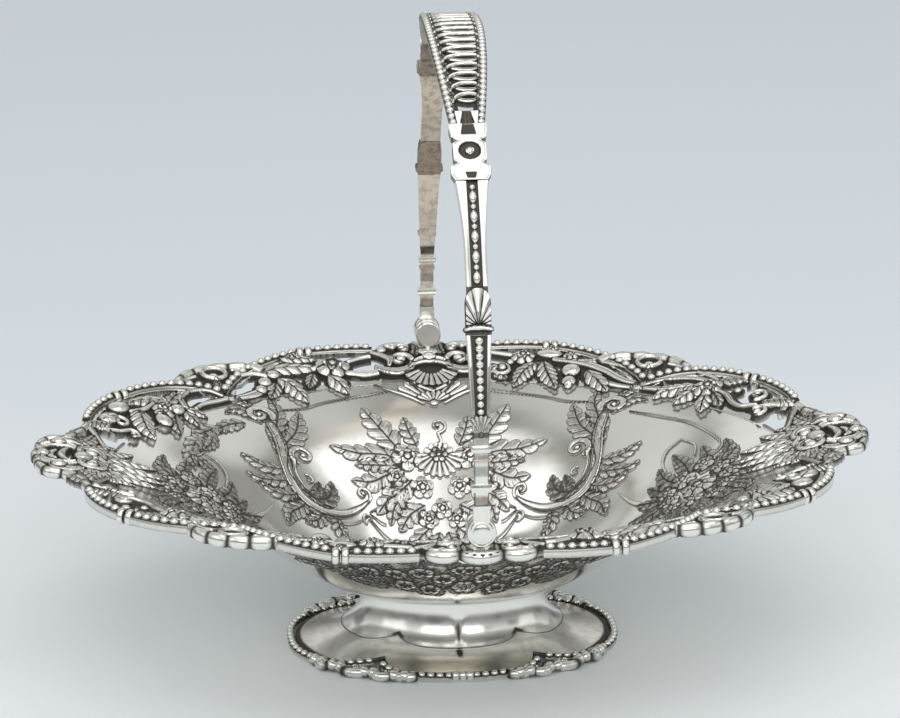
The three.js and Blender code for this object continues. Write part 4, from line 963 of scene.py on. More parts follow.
def hinge_relief():
    """The casting under each hinge: a palmette below a crescent, between two large C-scrolls with balls."""
    b = mm("bowl_half_width")
    half = smooth_path(pairs((
        0, 33.4, 3.4, 33, 6.4, 31.6, 8.8, 29.6, 12, 31.4, 15.6, 31.4, 19, 29.8, 23, 28.4,
        27, 27)) + (0, b), 4)
    relief = Relief((-30, 84), (30, 145), mm("relief_step"))

    def q(*places):
        return pairs(places) * (mirror, 1) + (0, b)

    for mirror in (1, -1):
        relief.ribbon(q(11, 3.4, 6, -2.4, 0, -6), (1.8, 2.8, 2), 1.6, lines=0)
        relief.ribbon(
            q(26, 9, 20.6, 6.4, 14.6, 6, 9.4, 8.6, 7.8, 13.2), (3, 4.4, 5, 4.4, 2.6), 3.1, 0.3,
            lines=(-0.4, 0.3))
        relief.volute(q(13.4, 14.4), 5.4, 180 if mirror > 0 else 0, -380 * mirror, 3, 3.3, ball=2.3)
        relief.ribbon(q(26, 22, 21.6, 19, 18.6, 15, 19, 10.6), (3, 3.6, 3.4, 2.2), 2.8, 0.2, lines=0)
        relief.volute(
            q(12, 25.2), 4.4, 20 if mirror > 0 else 160, 380 * mirror, 2.6, 3.1, ball=1.9,
            tail=q(23, 25, 19, 28.4))
        relief.frond(q(6.4, 20, 5.4, 26, 6.2, 32), 6, 2.6, 4, 0.3, 3)
        relief.ball(q(21.6, 24.6), 2.4, 3)
    relief.fan((0, b + 10.5), -90, 14.6, 128, 9, 2.3, 0.42)
    relief.ribbon(bowed((-9.4, b + 8.6), (9.4, b + 8.6), 4.6), (1.6, 2.6, 3, 2.6, 1.6), 3, 0.2)
    relief.ribbon(bowed((-7, b + 12.4), (7, b + 12.4), 3), (1.6, 3.2, 3.8, 3.2, 1.6), 3.6)
    relief.ball((0, b + 16.8), 3.6, 3.8)
    relief.fan((0, b + 24.5), 90, 10.6, 96, 5, 2.4, 0.15)
    edged(relief, half, half * (-1, 1), [(30, 60), (-30, 60)], 0.8, 2.4, 7)
    relief.keep(sector(relief.x, relief.y, 90 - HINGE_SECTOR, 90 + HINGE_SECTOR))
    return relief


SHELL_EDGE = (
    (61.6, 16.6), (60.6, 21.6), (58.4, 25.4), (55.2, 28.2),
    (51.8, 29.2), (48.6, 27.4), (46.2, 23.6), (45, 18.6),
)


def shell_rim():
    return lobed_band(smooth_path(on_rim(*SHELL_EDGE), 8), border_height, 6, 2.5, 0.1, 0.3, 1.3)


def shell_relief():
    """The shell scroll outside each cusp: a scalloped edge round a looped ring, with a fluted root."""
    path = smooth_path(on_rim(*SHELL_EDGE, (47.8, 14), (51.4, 8.6), (56.4, 12.6), SHELL_EDGE[0]), 4)
    relief = Relief((80, 84), (124, 122), mm("relief_step"))
    x, y = relief.x, relief.y
    relief.plate(inside_of(x, y, path), 0.7, 0.8)
    eye = rim_point(53, 22.2)
    relief.ribbon(spiral(eye, 5.4, 5.4, 0, 360, 28), 2.6, 3.3, smooth=False)
    relief.ball(eye, 2.2, 1.4)
    for stem in ((60.6, 17.6, 58.2, 21.4, 56.6, 22.4), (45.8, 20, 47.6, 22.8, 49.4, 23)):
        relief.ribbon(on_rim(*stem), (3.2, 3, 2.2), 2.7, lines=0)
    relief.frond(on_rim(51.4, 9.2, 51.8, 13, 52.2, 16.8), 5.6, 2.4, 4)
    for rails in (end_rail_path(), side_rail_path()):
        relief.cut(inside_of(x, y, closed_by_centre(*rails)) + 2.1)
    return relief


class BASKET_OT_border(bpy.types.Operator):
    """Make the pierced, leafy border castings with their beaded rails."""

    bl_idname = "basket.border"
    bl_label = "Border"

    def execute(self, context):
        surface = surface_of(border_height)
        rails = {}
        for key, path, start, end, toward in (
            ("end", end_rail_path(), 0.6, 0.8, (1, -0.62)), ("side", side_rail_path(), 0.8, 0.4, (-1, 0.1)),
        ):
            bands = collar(rim_corner(f"{key}_joint"), toward)
            rails[key] = [*rail(path, ((start, 4.4), (4.4, end))), *bands]
        castings = {
            (key, kind): joined(cast(draw_panel(key, kind), surface, border_under), *rails[key])
            for key in PANELS for kind in (0, 1)
        }
        shell = joined(cast(shell_relief(), surface, level(2.6), edge=0.4), shell_rim())
        tip = joined(cast(tip_relief(), surface, border_under), tip_nose())
        hinge = joined(cast(hinge_relief(), surface, border_under), hinge_edge())
        for end, sx in ENDS:
            make_piece(f"tip_{end}", tip.mirrored(sx, 1), "cast_silver", f"border_tip_{end}")
        for side, sy in SIDES:
            make_piece(f"hinge_casting_{side}", hinge.mirrored(1, sy), "cast_silver", f"hinge_plate_{side}")
            for end, sx in ENDS:
                place = f"{side}_{end}"
                for key in PANELS:
                    solid = castings[key, 0 if sx * sy > 0 else 1].mirrored(sx, sy)
                    make_piece(
                        f"{key}_casting_{place}", solid, "cast_silver", f"border_{key}_panel_{place}")
                solid = shell.mirrored(sx, sy)
                make_piece(f"shell_scroll_{place}", solid, "cast_silver", f"border_shell_{place}")
        return {"FINISHED"}


def lobed_band(path, height_at, lobes, radius, lift=0, pinch=0.3, tall=1):
    """A rounded band along a plan path that swells to lobes and is pinched between them.
    The pinches and the underside are painted dark as shade.
    """
    path = even_path(path, 40 * max(2, lobes // 2))
    swell = (np.abs(np.sin(np.pi * lobes * np.linspace(0, 1, len(path)))) ** 0.45)[:, None]
    turn = full_turn(14)
    size = radius * (1 - pinch + pinch * swell)
    profile = np.stack([size * np.cos(turn), tall * size * np.sin(turn)], -1)
    # Painted shade: dark at the pinches between lobes and on the band's underside.
    dark = 0.9 * (1 - swell) ** 1.2 + 0.35 * held(-np.sin(turn) - 0.3)
    return swept(*plan_frame(path, height_at(*path.T) + lift), profile, patina_and_shade=dark.ravel())


def both_halves(half):
    """A path from y = 0 and its mirror image in one, from end to end."""
    return np.vstack([half[::-1] * (1, -1), half[1:]])


def tip_nose():
    """The plain lobes along the outside of the tip: the nose, and six on each side of it."""
    half = smooth_path(pairs((
        32.9, 0, 32.6, 3.2, 31, 6.4, 31.4, 11, 29.6, 16.4, 27, 20.4, 19.4, 22.6, 14.4, 28.4, 10.8, 37.6,
        9.6, 42)) + (mm("bowl_half_length"), 0), 5)
    return lobed_band(both_halves(half), border_height, 13, 2.15, 0.2, 0.26, 1.25)


def hinge_edge():
    """The plain lobes along the outside of the hinge plate: a wide one in the middle and one on each side."""
    b = mm("bowl_half_width")
    bows = [bowed((-8.4, b + 29.6), (8.4, b + 29.6), 3.4)]
    bows += [bowed((sign * 9.4, b + 29.4), (sign * 22.4, b + 27.4), 2.6) for sign in (-1, 1)]
    sizes = zip(bows, (2.3, 2.2, 2.2))
    return joined(*(lobed_band(bow, border_height, 1, radius, 0, 0.3, 1.25) for bow, radius in sizes))


# The bowl and its chased ornament

def bowl_solid():
    """A thin sheet: the profile turned round the axis and drawn in to an oval, with a rounded lip."""
    profile = np.column_stack(bowl_profile())
    profile = profile[np.unique(np.r_[0, np.linspace(1, len(profile) - 1, 64).astype(int)])]
    lip = (mm("bowl_half_length") + 0.15, mm("bowl_edge_height") + 0.6)
    profile = np.vstack([profile, lip, profile[::-1] - (0, 1.2)])
    turn = full_turn(240)
    reach, height = profile[1:-1, :1], profile[1:-1, 1:]
    oval = mm("bowl_half_width") / mm("bowl_half_length")
    rings = np.stack(
        [np.cos(turn) * reach, np.sin(turn) * reach * oval, np.repeat(height, len(turn), 1)], -1)
    points = np.vstack([rings.reshape(-1, 3), (0, 0, profile[0, 1]), (0, 0, profile[-1, 1])])
    return outward(Solid(points, ring_faces(len(rings), len(turn))))


def wall_map(stretch, along_y):
    """A drawing's places from plan places, with the direction up the wall stretched to its real length, and
    the drawing's surface on the wall."""
    scale = (1, stretch) if along_y else (stretch, 1)

    def to_drawing(*places):
        return pairs(places) * scale

    def surface(x, y):
        return surface_of(bowl_height)(x / scale[0], y / scale[1])
    return to_drawing, surface


def cartouche_relief(to):
    """The C-scroll beside the middle of each long wall, drawn for positive x: an outer ribbon from a hooked
    volute down to a small one, an inner scroll, and acanthus leaves that break from both."""
    relief = Relief((26, 24), (100, 124), 0.45, pen=1.2)
    for spine, width, lobes in (
        ((72, 52, 76, 50.5, 83, 50, 91, 53.5), 9, 5), ((70, 47, 76, 44, 84, 41.5, 89, 43), 8, 5),
        ((66, 42, 72, 38.5, 78, 37.5, 83, 40), 8, 5), ((62, 40, 66, 35, 70, 30, 71, 23), 9, 6),
        ((55, 38.5, 58, 33.5, 63, 30), 8, 4), ((49, 39, 47, 33, 42, 30), 8, 5),
        ((73, 58, 70, 66, 65, 74, 63, 86), 13, 7), ((76, 66, 74, 74, 73, 84, 76, 92), 10, 6),
        ((80, 76, 85, 80, 92, 81, 97, 78), 9, 5), ((84, 84, 90, 87, 96, 86), 7, 4),
    ):
        relief.frond(to(*spine), width, 1.4, lobes)
    relief.ribbon(
        to(34, 50, 38, 46.5, 45, 42.2, 53.5, 40, 62, 40.6, 67.8, 45.6, 70.9, 55, 73, 66.5, 76.5, 75),
        (1.6, 3.4, 4.2, 4.6, 4.8, 5, 5.2, 4.8, 4.2), 1.7, 0.55, lines=(-0.62, 0.62))
    relief.volute(to(81.5, 80), 6.6, 190, -470, 3, 1.6, ball=1.3, hollow=0.3)
    relief.volute(to(36, 52.6), 3.8, 230, -420, 1.6, 1.3, ball=0.9)
    relief.volute(to(62.6, 62), 6, 300, 430, 2.6, 1.5, ball=1.2, hollow=0.3)
    relief.ribbon(
        to(68, 58.4, 67.6, 52.4, 64.6, 47.6, 59.4, 43.8), (3.6, 4.4, 3.4, 1.2), 1.2, 0.6,
        lines=(-0.4, 0, 0.4))
    relief.volute(to(60.6, 51.4), 2.6, 60, 330, 1.2, 1)
    relief.frond(to(61, 43.5, 56, 44, 51, 48, 50.5, 54), 10, 1.1, 5, lean=1.1, shade=0.7)
    relief.frond(to(60, 44, 57, 47, 56, 52), 6, 1, 4, shade=0.7)
    for points in (
        (33, 45.5, 40, 40.2, 50, 37, 58, 36.6), (33, 45.5, 27, 43, 21, 43.6), (33, 46.5, 29, 48.5, 24, 48),
        (60, 36, 66, 39, 69, 44),
    ):
        relief.ribbon(to(*points), (0.8, 2, 1.1), 0.7, lines=0, outline=0.55)
    return relief


def bouquet_relief(to):
    """The flowers in the middle of each long wall, and below them on the bowl's floor."""
    relief = Relief((-58, 22), (58, 164), 0.45, pen=1.2)
    for side in (-1, 1):
        def m(*places):
            return to(pairs(places) * (side, 1))
        for spine, width, lobes in (
            ((16, 68, 26, 70, 38, 69, 50, 70.5), 13, 5), ((18, 72, 23, 78, 28, 84, 34, 92), 14, 4),
            ((16, 65, 24, 62, 32, 58, 41, 57), 13, 4), ((13, 61, 19, 56, 25, 52, 30, 46), 11, 4),
            ((10, 75, 13, 81, 15, 88), 9, 4), ((8, 52, 15, 48, 20, 41), 10, 4),
            ((6, 44, 12, 38, 14, 31), 9, 4), ((20, 66, 30, 65, 39, 64), 8, 5),
            ((16, 57, 22, 50, 24, 43), 8, 5), ((2, 42, 4, 35, 3, 28), 8, 5),
        ):
            relief.frond(m(*spine), width, 1.4, lobes, teeth=0.42, lean=0.6, shade=0.42)
        relief.flower(m(14.5, 70), 7.4, 1.7, 5, 20 * side)
        relief.flower(m(8.5, 58.5), 5.6, 1.5, 5, 50 * side)
        relief.flower(m(20, 61.5), 4.6, 1.4, 5, 10 * side)
        relief.flower(m(6.5, 47), 4.8, 1.4, 5, 10 * side)
        relief.ribbon(m(5, 96, 12, 100.5, 20, 103.5, 27, 106.5), (2, 3.4, 2.2, 1), 0.9, lines=0)
        relief.ribbon(m(27, 106.5, 22, 112, 13, 116), (1, 2, 1.2), 0.8, lines=0)
        relief.ribbon(m(3, 36, 12, 33, 24, 36, 33, 43), (1.2, 2.4, 2.4, 1.2), 0.8, lines=0)
        relief.volute(m(34, 43.5), 3, 250, 360 * side, 1.1, 0.9)
    relief.fan(to(0, 72), -90, 13, 176, 11, 1.5, 0.2)
    relief.fan(to(0, 70.5), 90, 7.6, 150, 5, 1.2, 0.1)
    relief.flower(to(0, 71), 4, 1.7, 6, 0, 0.3)
    relief.flower(to(0, 51), 5, 1.4, 5, 30)
    relief.volute(to(0.5, 84), 4.4, -90, 400, 1.5, 1.1, ball=0.9, tail=to(0, 72, 1.5, 77))
    relief.fan(to(0, 95), 90, 21, 112, 9, 1.2, 0.25)
    relief.fan(to(0, 95.5), 90, 9, 128, 7, 1.6, 0.2)
    relief.ball(to(0, 95.5), 2, 1.7)
    return relief


def end_bouquet_relief(to):
    """The flowers, leaves and sprays on the wall at each end of the basket, drawn for positive x."""
    relief = Relief((74, -64), (178, 64), 0.45, pen=1.2)
    for side in (-1, 1):
        def m(*places):
            return to(pairs(places) * (1, side))
        for spine, width, lobes in (
            ((100, 8, 95, 14, 90, 22), 9, 4), ((103, 12, 98, 21, 96, 31), 10, 5),
            ((108, 16, 107, 25, 103, 36), 10, 5), ((112, 14, 117, 23, 116, 34), 10, 5),
            ((116, 8, 124, 14, 131, 23), 10, 5), ((98, 5, 91, 9, 84, 15), 9, 4),
            ((118, 3, 127, 4, 136, 9), 9, 5), ((94, 2, 87, 2, 79, 5), 8, 4),
            ((122, 16, 127, 25, 126, 33), 8, 4),
        ):
            relief.frond(m(*spine), width, 1.5, lobes, shade=0.6)
        relief.flower(m(105, 13), 6.6, 1.9, 6, 15)
        relief.flower(m(115, 19), 5.4, 1.7, 5, 40)
        relief.flower(m(97, 9), 5, 1.7, 5, 0)
        relief.flower(m(121, 10), 5.2, 1.7, 5, 25)
        relief.ribbon(m(99, 26, 98, 34, 101, 41, 108, 45), (1.2, 1.6, 1.4, 0.8), 0.8, outline=0.5)
        relief.ribbon(m(112, 30, 113, 38, 108, 45), (1, 1.4, 0.8), 0.8, outline=0.5)
        relief.ribbon(m(92, 8, 84, 18, 78, 30), (1.4, 2.2, 1), 0.8, outline=0.5)
    relief.flower(to(110, 0), 9, 2.2, 7, 0, 0.28)
    relief.flower(to(97, 0), 5.6, 1.8, 5, 20)
    relief.flower(to(124, 0), 6, 1.8, 5, 20)
    return relief


def under_relief(to):
    """The back of the chasing, low outside each long wall: small flowers with dark pits among leaves."""
    relief = Relief((-92, 52), (92, 112), 0.55, pen=1.3)
    for side in (-1, 1):
        def m(*places):
            return to(pairs(places) * (side, 1))
        for x, y, size in (
            (9, 62, 5.4), (19, 66, 5.8), (30, 62, 5.2), (41, 60, 4.8), (14, 53, 4.6), (25, 54, 4.8),
            (52, 56, 4.6), (2, 70, 5),
        ):
            centre = m(x, y)[0]
            relief.flower(centre, size, 0.8, 5, 17 * x, 0.1)
            relief.ball(centre, size * 0.36, 0.82)
            hole = np.hypot(relief.x - centre[0], (relief.y - centre[1]) * 1.3) < size * 0.36
            relief.line[hole] = 1
            relief.height[hole] = 0.15
        for spine, width in (
            ((32, 52, 40, 50, 50, 47), 8), ((44, 66, 54, 63, 64, 57), 8), ((34, 68, 42, 71, 52, 70), 7),
            ((56, 50, 64, 47, 72, 42), 7), ((20, 74, 28, 78, 38, 78), 8), ((60, 60, 68, 56, 76, 49), 7),
            ((6, 76, 14, 79, 22, 82), 8), ((40, 74, 50, 74, 60, 68), 8), ((64, 64, 72, 60, 80, 52), 8),
            ((30, 57, 37, 55, 45, 53), 6), ((48, 60, 56, 58, 64, 52), 7),
        ):
            relief.frond(m(*spine), width, 1, 5, shade=0.6)
    relief.flower(to(0, 56), 5.4, 0.8, 6, 0, 0.2)
    x, y = relief.x, relief.y
    grain = 0.5 + 0.5 * np.sin(x * 2.1 + 2 * np.sin(y * 0.7)) * np.sin(y * 1.9 + 1.5 * np.sin(x * 0.9))
    relief.web(5 * (1 - np.hypot(x / 84, (y - 80) / 28)), 3.2, 0.15, 0.25 + 0.45 * grain)
    return relief


def strap_relief(to, feathered):
    """The chased line along the top of each long wall, and where the wall turns to the end a feathery spray
    or a plain broken line."""
    relief = Relief((14, 14), (134, 132), 0.5, pen=1.2)
    relief.ribbon(
        to(18, 103.5, 34, 99.5, 51, 93.6, 60, 89, 70, 86), (0.8, 2.2, 1.2, 1.8, 0.8), 0.5, lines=0,
        outline=0.5)
    if not feathered:
        relief.ribbon(
            to(88, 74, 100, 66, 112, 56, 120, 44, 124, 30, 116, 23, 108, 20),
            (0.8, 2, 1.6, 2.2, 1.8, 2, 0.8), 0.6, lines=0, outline=0.5)
        return relief
    for spine, width in (
        ((88, 73, 96, 69, 104, 61), 8), ((100, 66, 108, 59, 112, 50), 10),
        ((106, 58, 112, 49, 113, 39), 10), ((111, 48, 114, 40, 112, 31), 8),
        ((104, 62, 104, 54, 108, 47), 7), ((112, 40, 107, 36, 104, 30), 7),
    ):
        relief.frond(to(*spine), width, 1.2, 5, hatch=3, shade=0.5)
    return relief


class BASKET_OT_bowl(bpy.types.Operator):
    """Make the bowl's sheet and the chased ornament on its walls."""

    bl_idname = "basket.bowl"
    bl_label = "Bowl"

    def execute(self, context):
        to_long, long_wall = wall_map(1.3, True)
        to_end, end_wall = wall_map(1.15, False)
        to_plain, plain_wall = wall_map(1, True)

        def under_wall(x, y):
            point, normal = long_wall(x, y)
            return point - (0, 0, 1.25), -normal

        def chased(relief, wall):
            return cast(relief, wall, level(0.25), depth=0.35, spread=1.6)

        def chased_piece(name, solid):
            make_piece(f"chased_{name}", solid, "raised_silver", crease=75)

        make_piece("bowl_sheet", bowl_solid(), "raised_silver", "bowl", crease=60)
        cartouche = chased(cartouche_relief(to_long), long_wall)
        bouquet = chased(bouquet_relief(to_long), long_wall)
        bunch = chased(end_bouquet_relief(to_end), end_wall)
        straps = {end: chased(strap_relief(to_plain, end == "left"), plain_wall) for end, _ in ENDS}
        back = outward(chased(under_relief(to_long), under_wall))
        for side, sy in SIDES:
            chased_piece(f"flowers_{side}", bouquet.mirrored(1, sy))
            chased_piece(f"back_{side}", back.mirrored(1, sy))
            for end, sx in ENDS:
                chased_piece(f"scroll_{side}_{end}", joined(cartouche, straps[end]).mirrored(sx, sy))
        for end, sx in ENDS:
            chased_piece(f"bunch_{end}", bunch.mirrored(sx, 1))
        return {"FINISHED"}


# The foot

FOOT_NECK = 39.5
FOOT_CUSP = (33, 34)


def foot_profile():
    """The foot's profile along its length: a cubic curve from the neck under the bowl down to the lip."""
    a, lip, top = mm("foot_half_length"), 2.6, mm("bowl_floor_height") - 0.3
    return cubic((FOOT_NECK, FOOT_NECK + 1, a - 18, a), 200), cubic((top, top - 17.7, lip + 2.6, lip), 200)


def foot_height(x, y):
    reach, height = foot_profile()
    a, b = mm("foot_half_length"), mm("foot_half_width")
    return np.interp(a * np.hypot(x / a, y / b), reach, height)


def foot_lobe(along_x, steps=60):
    """One lobe's edge: part of a rounded oval, from one corner of the foot to the next."""
    a, b = mm("foot_half_length"), mm("foot_half_width")
    along, across = FOOT_CUSP
    if along_x:
        centre, half, reach, power = along, across, a - along, 2.5
    else:
        centre, half, reach, power = across, along, b - across, 2.2
    angle = np.linspace(-np.pi / 2, np.pi / 2, steps + 1)
    c = centre + reach * np.abs(np.cos(angle)) ** (2 / power)
    s = half * (np.sign(np.sin(angle)) * np.abs(np.sin(angle)) ** (2 / power))
    return np.column_stack([c, s] if along_x else [-s, c])


def offset_path(path, distance):
    """A path moved to its right by a distance."""
    along = unit(np.gradient(path, axis=0))
    return path + np.column_stack([along[:, 1], -along[:, 0]]) * distance


def foot_edge():
    right, back = foot_lobe(True), foot_lobe(False)
    return np.vstack([right, back[1:], -right[1:], -back[1:-1]])


def foot_solid():
    """The stem: each place on the lobed edge runs up the profile to the neck, with a crease towards each
    corner and two chased lines round it. A second sheet inside closes the wall."""
    def ridge(distance, width):
        return np.exp(-(distance / width) ** 2)

    edge = foot_edge()
    a, b = mm("foot_half_length"), mm("foot_half_width")
    reach, height = foot_profile()
    share_at = np.linspace(0, 1, len(reach))
    last = np.interp(a * np.hypot(edge[:, 0] / a, edge[:, 1] / b), reach, share_at)
    turn = np.arctan2(edge[:, 1] / b, edge[:, 0] / a)
    corner = math.atan2(FOOT_CUSP[1] / b, FOOT_CUSP[0] / a)
    away = np.abs(np.abs((turn + np.pi / 2) % np.pi - np.pi / 2) - corner)
    share = np.linspace(0, 1, 57)[:, None] * last
    out, z = np.interp(share, share_at, reach), np.interp(share, share_at, height)
    up = share / last
    crease = 0.9 * ridge(away, 0.16) * held((up - 0.5) / 0.5) ** 1.3
    line = 0.14 * ridge(up - 0.53, 0.011) + 0.05 * ridge(up - 0.57, 0.008)
    front = np.abs(np.abs(turn) - np.pi / 2)
    tuck = 0.9 * ridge(front, 0.02 + 0.06 * held((z - 11) / 12)) * held((z - 9.5) / 3) * held((22 - z) / 6)
    mark = ridge(front, 0.025) * ridge(z - 7.5, 1.1)
    cusp = 0.7 * ridge(away, 0.10) * ridge(up - 0.49, 0.03)
    # Painted shade and a painted dark reflection: the band at the lip, the spot low at the front (mark) and
    # the darkened tuck. The lines are chased.
    dark = held(line * 4 + cusp + tuck * 0.6 + mark + 0.9 * ridge(z - height[-1], 0.35))

    def sheet(out, z):
        return np.stack([out * np.cos(turn), out * np.sin(turn) * b / a, z], -1)
    outer = sheet(out - crease - line - tuck, z)
    inner = sheet(out - 1.3 * (1 - share) - crease, z - 1.2 * held(share * 3))
    rings = np.concatenate([outer, inner[::-1]])
    warm = np.tile(0.22 * held((up - 0.52) / 0.05), (2, 1))
    index = np.arange(len(rings) * len(turn)).reshape(rings.shape[:2])
    down = np.roll(index, -1, 0)
    quads = np.stack([index, down, np.roll(down, -1, 1), np.roll(index, -1, 1)], -1).reshape(-1, 4)
    # The inner sheet is painted at 0.3 as shade inside the foot.
    return outward(Solid(rings, [quads], np.r_[dark.ravel(), np.full(dark.size, 0.3)], warm.ravel()))


def foot_rail(along_x):
    """The rail along one lobe's edge, plain outside, with its beads."""
    def under_beads(x, y):
        return foot_height(x, y) - 2.6

    line = offset_path(foot_lobe(along_x, 90), 1.95)
    along, across = unit(np.array(FOOT_CUSP, float))
    if along_x:
        (ax, ay), (bx, by) = (along, -across), (along, across)
    else:
        (ax, ay), (bx, by) = (along, across), (-along, across)
    x, y = line.T
    line = even_path(line[np.minimum(ax * y - ay * x, x * by - y * bx) > 1.3], 80)
    profile = [(-1.35, 0.02), (-1.4, 2.3), (-1, 2.9), (1, 2.9), (1.4, 2.3), (1.35, 0.02)]
    # Painted shade: the band is dark along its top under the beads.
    tone = np.tile((0.15, 0.3, 0.9, 0.9, 0.2, 0.1), len(line))
    band = swept(*plan_frame(line, under_beads(*line.T)), profile, patina_and_shade=tone)
    return joined(band, bead_row(line, under_beads, 4, 1.72, 3))


FOOT_CORNER = (
    (29, 1.6), (33, 3.4), (37.5, 5.6), (42.6, 2.2), (48, 5.8), (53, 4.6), (56.5, 2.0), (61, 5.4), (66, 3.4),
    (70, 3.6), (74, 2.4))


def foot_corner(*places):
    """Plan places from an angle round the foot's oval, in degrees, and a distance outside it."""
    turn, out = pairs(places).T * ((math.pi / 180,), (1,))
    x, y = (mm("foot_half_length") + out) * np.cos(turn), (mm("foot_half_width") + out) * np.sin(turn)
    return np.column_stack([x, y])


def foot_scroll_edge():
    """The rounded band outside a corner's scrollwork, with a pair of knuckles at each bend."""
    band = lobed_band(smooth_path(foot_corner(*FOOT_CORNER), 6), level(2.35), 5, 2.15, 0, 0.1)
    bends = [(turn + shift, 3.4) for turn in (33, 42.6, 56.5, 68) for shift in (-1.9, 1.9)]
    knuckles = beads(
        np.column_stack([foot_corner(*bends), np.full(len(bends), 2.75)]), ACROSS, UP, 2.7, 14, 7, -80)
    knuckles.patina_and_shade *= 0.4
    return joined(band, knuckles)


def foot_scroll_relief():
    """The pierced scrollwork in each corner of the foot: three trefoils of rings in a dark web. The web is a
    sheet painted near black as the shadow in the openings.
    """
    relief = Relief((14, 18), (70, 62), 0.35)
    x, y = relief.x, relief.y
    for centre in ((39, -1.6), (64, -1.8), (52, -0.4)):
        middle = foot_corner(centre)[0]
        out_x, out_y = unit(middle)
        for lean in (-70, 0, 70):
            c, w = math.cos(math.radians(lean)), math.sin(math.radians(lean))
            toward = np.array([out_x * c - out_y * w, out_x * w + out_y * c])
            relief.ribbon(spiral(middle + toward * 2.5, 2.1, 2.1, 0, 360, 20), 1.3, 3.4, smooth=False)
    # Painted shadow: the web under the rings is near black, standing for the openings.
    relief.web(inside_of(x, y, closed_by_centre(smooth_path(foot_corner(*FOOT_CORNER)))), 40, 0.8, 0.95)
    for along_x in (True, False):
        relief.cut(inside_of(x, y, closed_by_centre(offset_path(foot_lobe(along_x), 3.7))))
    return relief


class BASKET_OT_foot(bpy.types.Operator):
    """Make the lobed pedestal foot, its beaded rails and its corner scrolls."""

    bl_idname = "basket.foot"
    bl_label = "Foot"

    def execute(self, context):
        make_piece("foot_sheet", foot_solid(), "raised_silver", "foot_stem", crease=50)
        long_rail = foot_rail(True)
        middle = collar((0, mm("foot_half_width") + 1.95), (1, 0), 1.9, 2.3, 2.7, (-3.2, 0, 3.2))
        short_rail = joined(foot_rail(False), *middle)
        surface = surface_of(lambda x, y: foot_height(x, y) - 2.55)
        scroll = joined(cast(foot_scroll_relief(), surface, level(0), edge=0.25), foot_scroll_edge())
        scroll.points[:, 2] = np.maximum(scroll.points[:, 2], 0.02)
        for end, sx in ENDS:
            make_piece(
                f"foot_beads_{end}", long_rail.mirrored(sx, 1), "cast_silver", f"foot_bead_rail_{end}")
        for side, sy in SIDES:
            make_piece(
                f"foot_beads_{side}", short_rail.mirrored(1, sy), "cast_silver", f"foot_bead_rail_{side}")
            for end, sx in ENDS:
                place, solid = f"{side}_{end}", scroll.mirrored(sx, sy)
                make_piece(f"foot_scrollwork_{place}", solid, "cast_silver", f"foot_scroll_{place}")
        return {"FINISHED"}


# The hinges

def turned(profile, height=0, segments=40):
    """A profile of (distance along y, radius) turned round a line along y at a height, with closed ends."""
    profile = np.asarray(profile, float)
    along, radius = profile[:, :1], profile[:, 1:]
    turn = full_turn(segments)
    along = np.repeat(along, segments, 1)
    rings = np.stack([radius * np.cos(turn), along, height + radius * np.sin(turn)], -1)
    ends = [(0, along[0, 0], height), (0, along[-1, 0], height)]
    return outward(Solid(np.vstack([rings.reshape(-1, 3), *ends]), ring_faces(len(profile), segments)))


def upright(profile, y, flat):
    """A profile of (height, radius) turned round an upright line at y, and flattened along y."""
    solid = turned(profile, segments=32)
    solid.points = solid.points[:, (0, 2, 1)] * (1, flat, 1) + (0, y, 0)
    return outward(solid)


class BASKET_OT_hinges(bpy.types.Operator):
    """Make the hinge barrels, posts and pins."""

    bl_idname = "basket.hinges"
    bl_label = "Hinges"

    def execute(self, context):
        pivot, span = PIVOT_HEIGHT / MM, mm("handle_half_span")
        low = span - 2.3 - 0.35 - 7.4
        barrel = turned(pairs((
            0, 2.5, 0, 5.3, 0.5, 5.8, 2.2, 5.85, 2.6, 5.45, 4.8, 5.45, 5.2, 5.85, 6.9, 5.8, 7.4, 5.3,
            7.4, 2.5)) + (low, 0), pivot)
        middle = low + 3.7
        foot = border_height(np.zeros(1), np.full(1, middle + 4.2)) + 0.3
        rings = pairs((0, 4.6, 0.8, 4.9, 1.6, 4.4, 2.2, 3.4, 3.6, 3.2, 4.6, 3.9, 5.4, 3.6)) + (foot[0], 0)
        post = upright([*rings, (pivot - 2.5, 3.2)], middle, 0.85)
        head = pairs((0, 2, 0, 3.4, 0.25, 3.75, 0.75, 3.7, 1.05, 3, 1.1, 1.4)) + (span + 2.3 + 0.35, 0)
        pin = turned([(low + 1.5, 2), *head], pivot)
        for side, sy in SIDES:
            lug = joined(barrel, post).mirrored(1, sy)
            make_piece(f"hinge_barrel_{side}", lug, "cast_silver", f"hinge_lug_{side}")
            make_piece(f"hinge_pin_head_{side}", pin.mirrored(1, sy), "cast_silver", f"hinge_pin_{side}")
        return {"FINISHED"}


# The handle

# Where each part of one side of the handle ends, in degrees from the top of the arch
CROWN_END, BOSS_END, UPPER_END, SHELL_END, BEADS_END, ANKLE_END = 31.0, 41.0, 57.0, 63.6, 74.6, 86.2
# The heights between which a leg's sunk floor lies, from the arch's line
FLOOR = (0.4, 1.2)


def arch_frame(angle):
    """Points and outward directions along the arch, from angles measured from its top, in degrees."""
    t = np.radians(angle)
    span, rise, zero = mm("handle_half_span"), mm("handle_rise"), np.zeros_like(t)
    point = np.stack([zero, span * np.sin(t), PIVOT_HEIGHT / MM + rise * np.cos(t)], -1)
    return point, unit(np.stack([zero, rise * np.sin(t), span * np.cos(t)], -1))


def arch_table():
    """Angles along the arch, and how far along it from its top each lies."""
    angle = np.linspace(-90, 90, 1441)
    length = path_lengths(arch_frame(angle)[0])
    return angle, length - length[len(length) // 2]


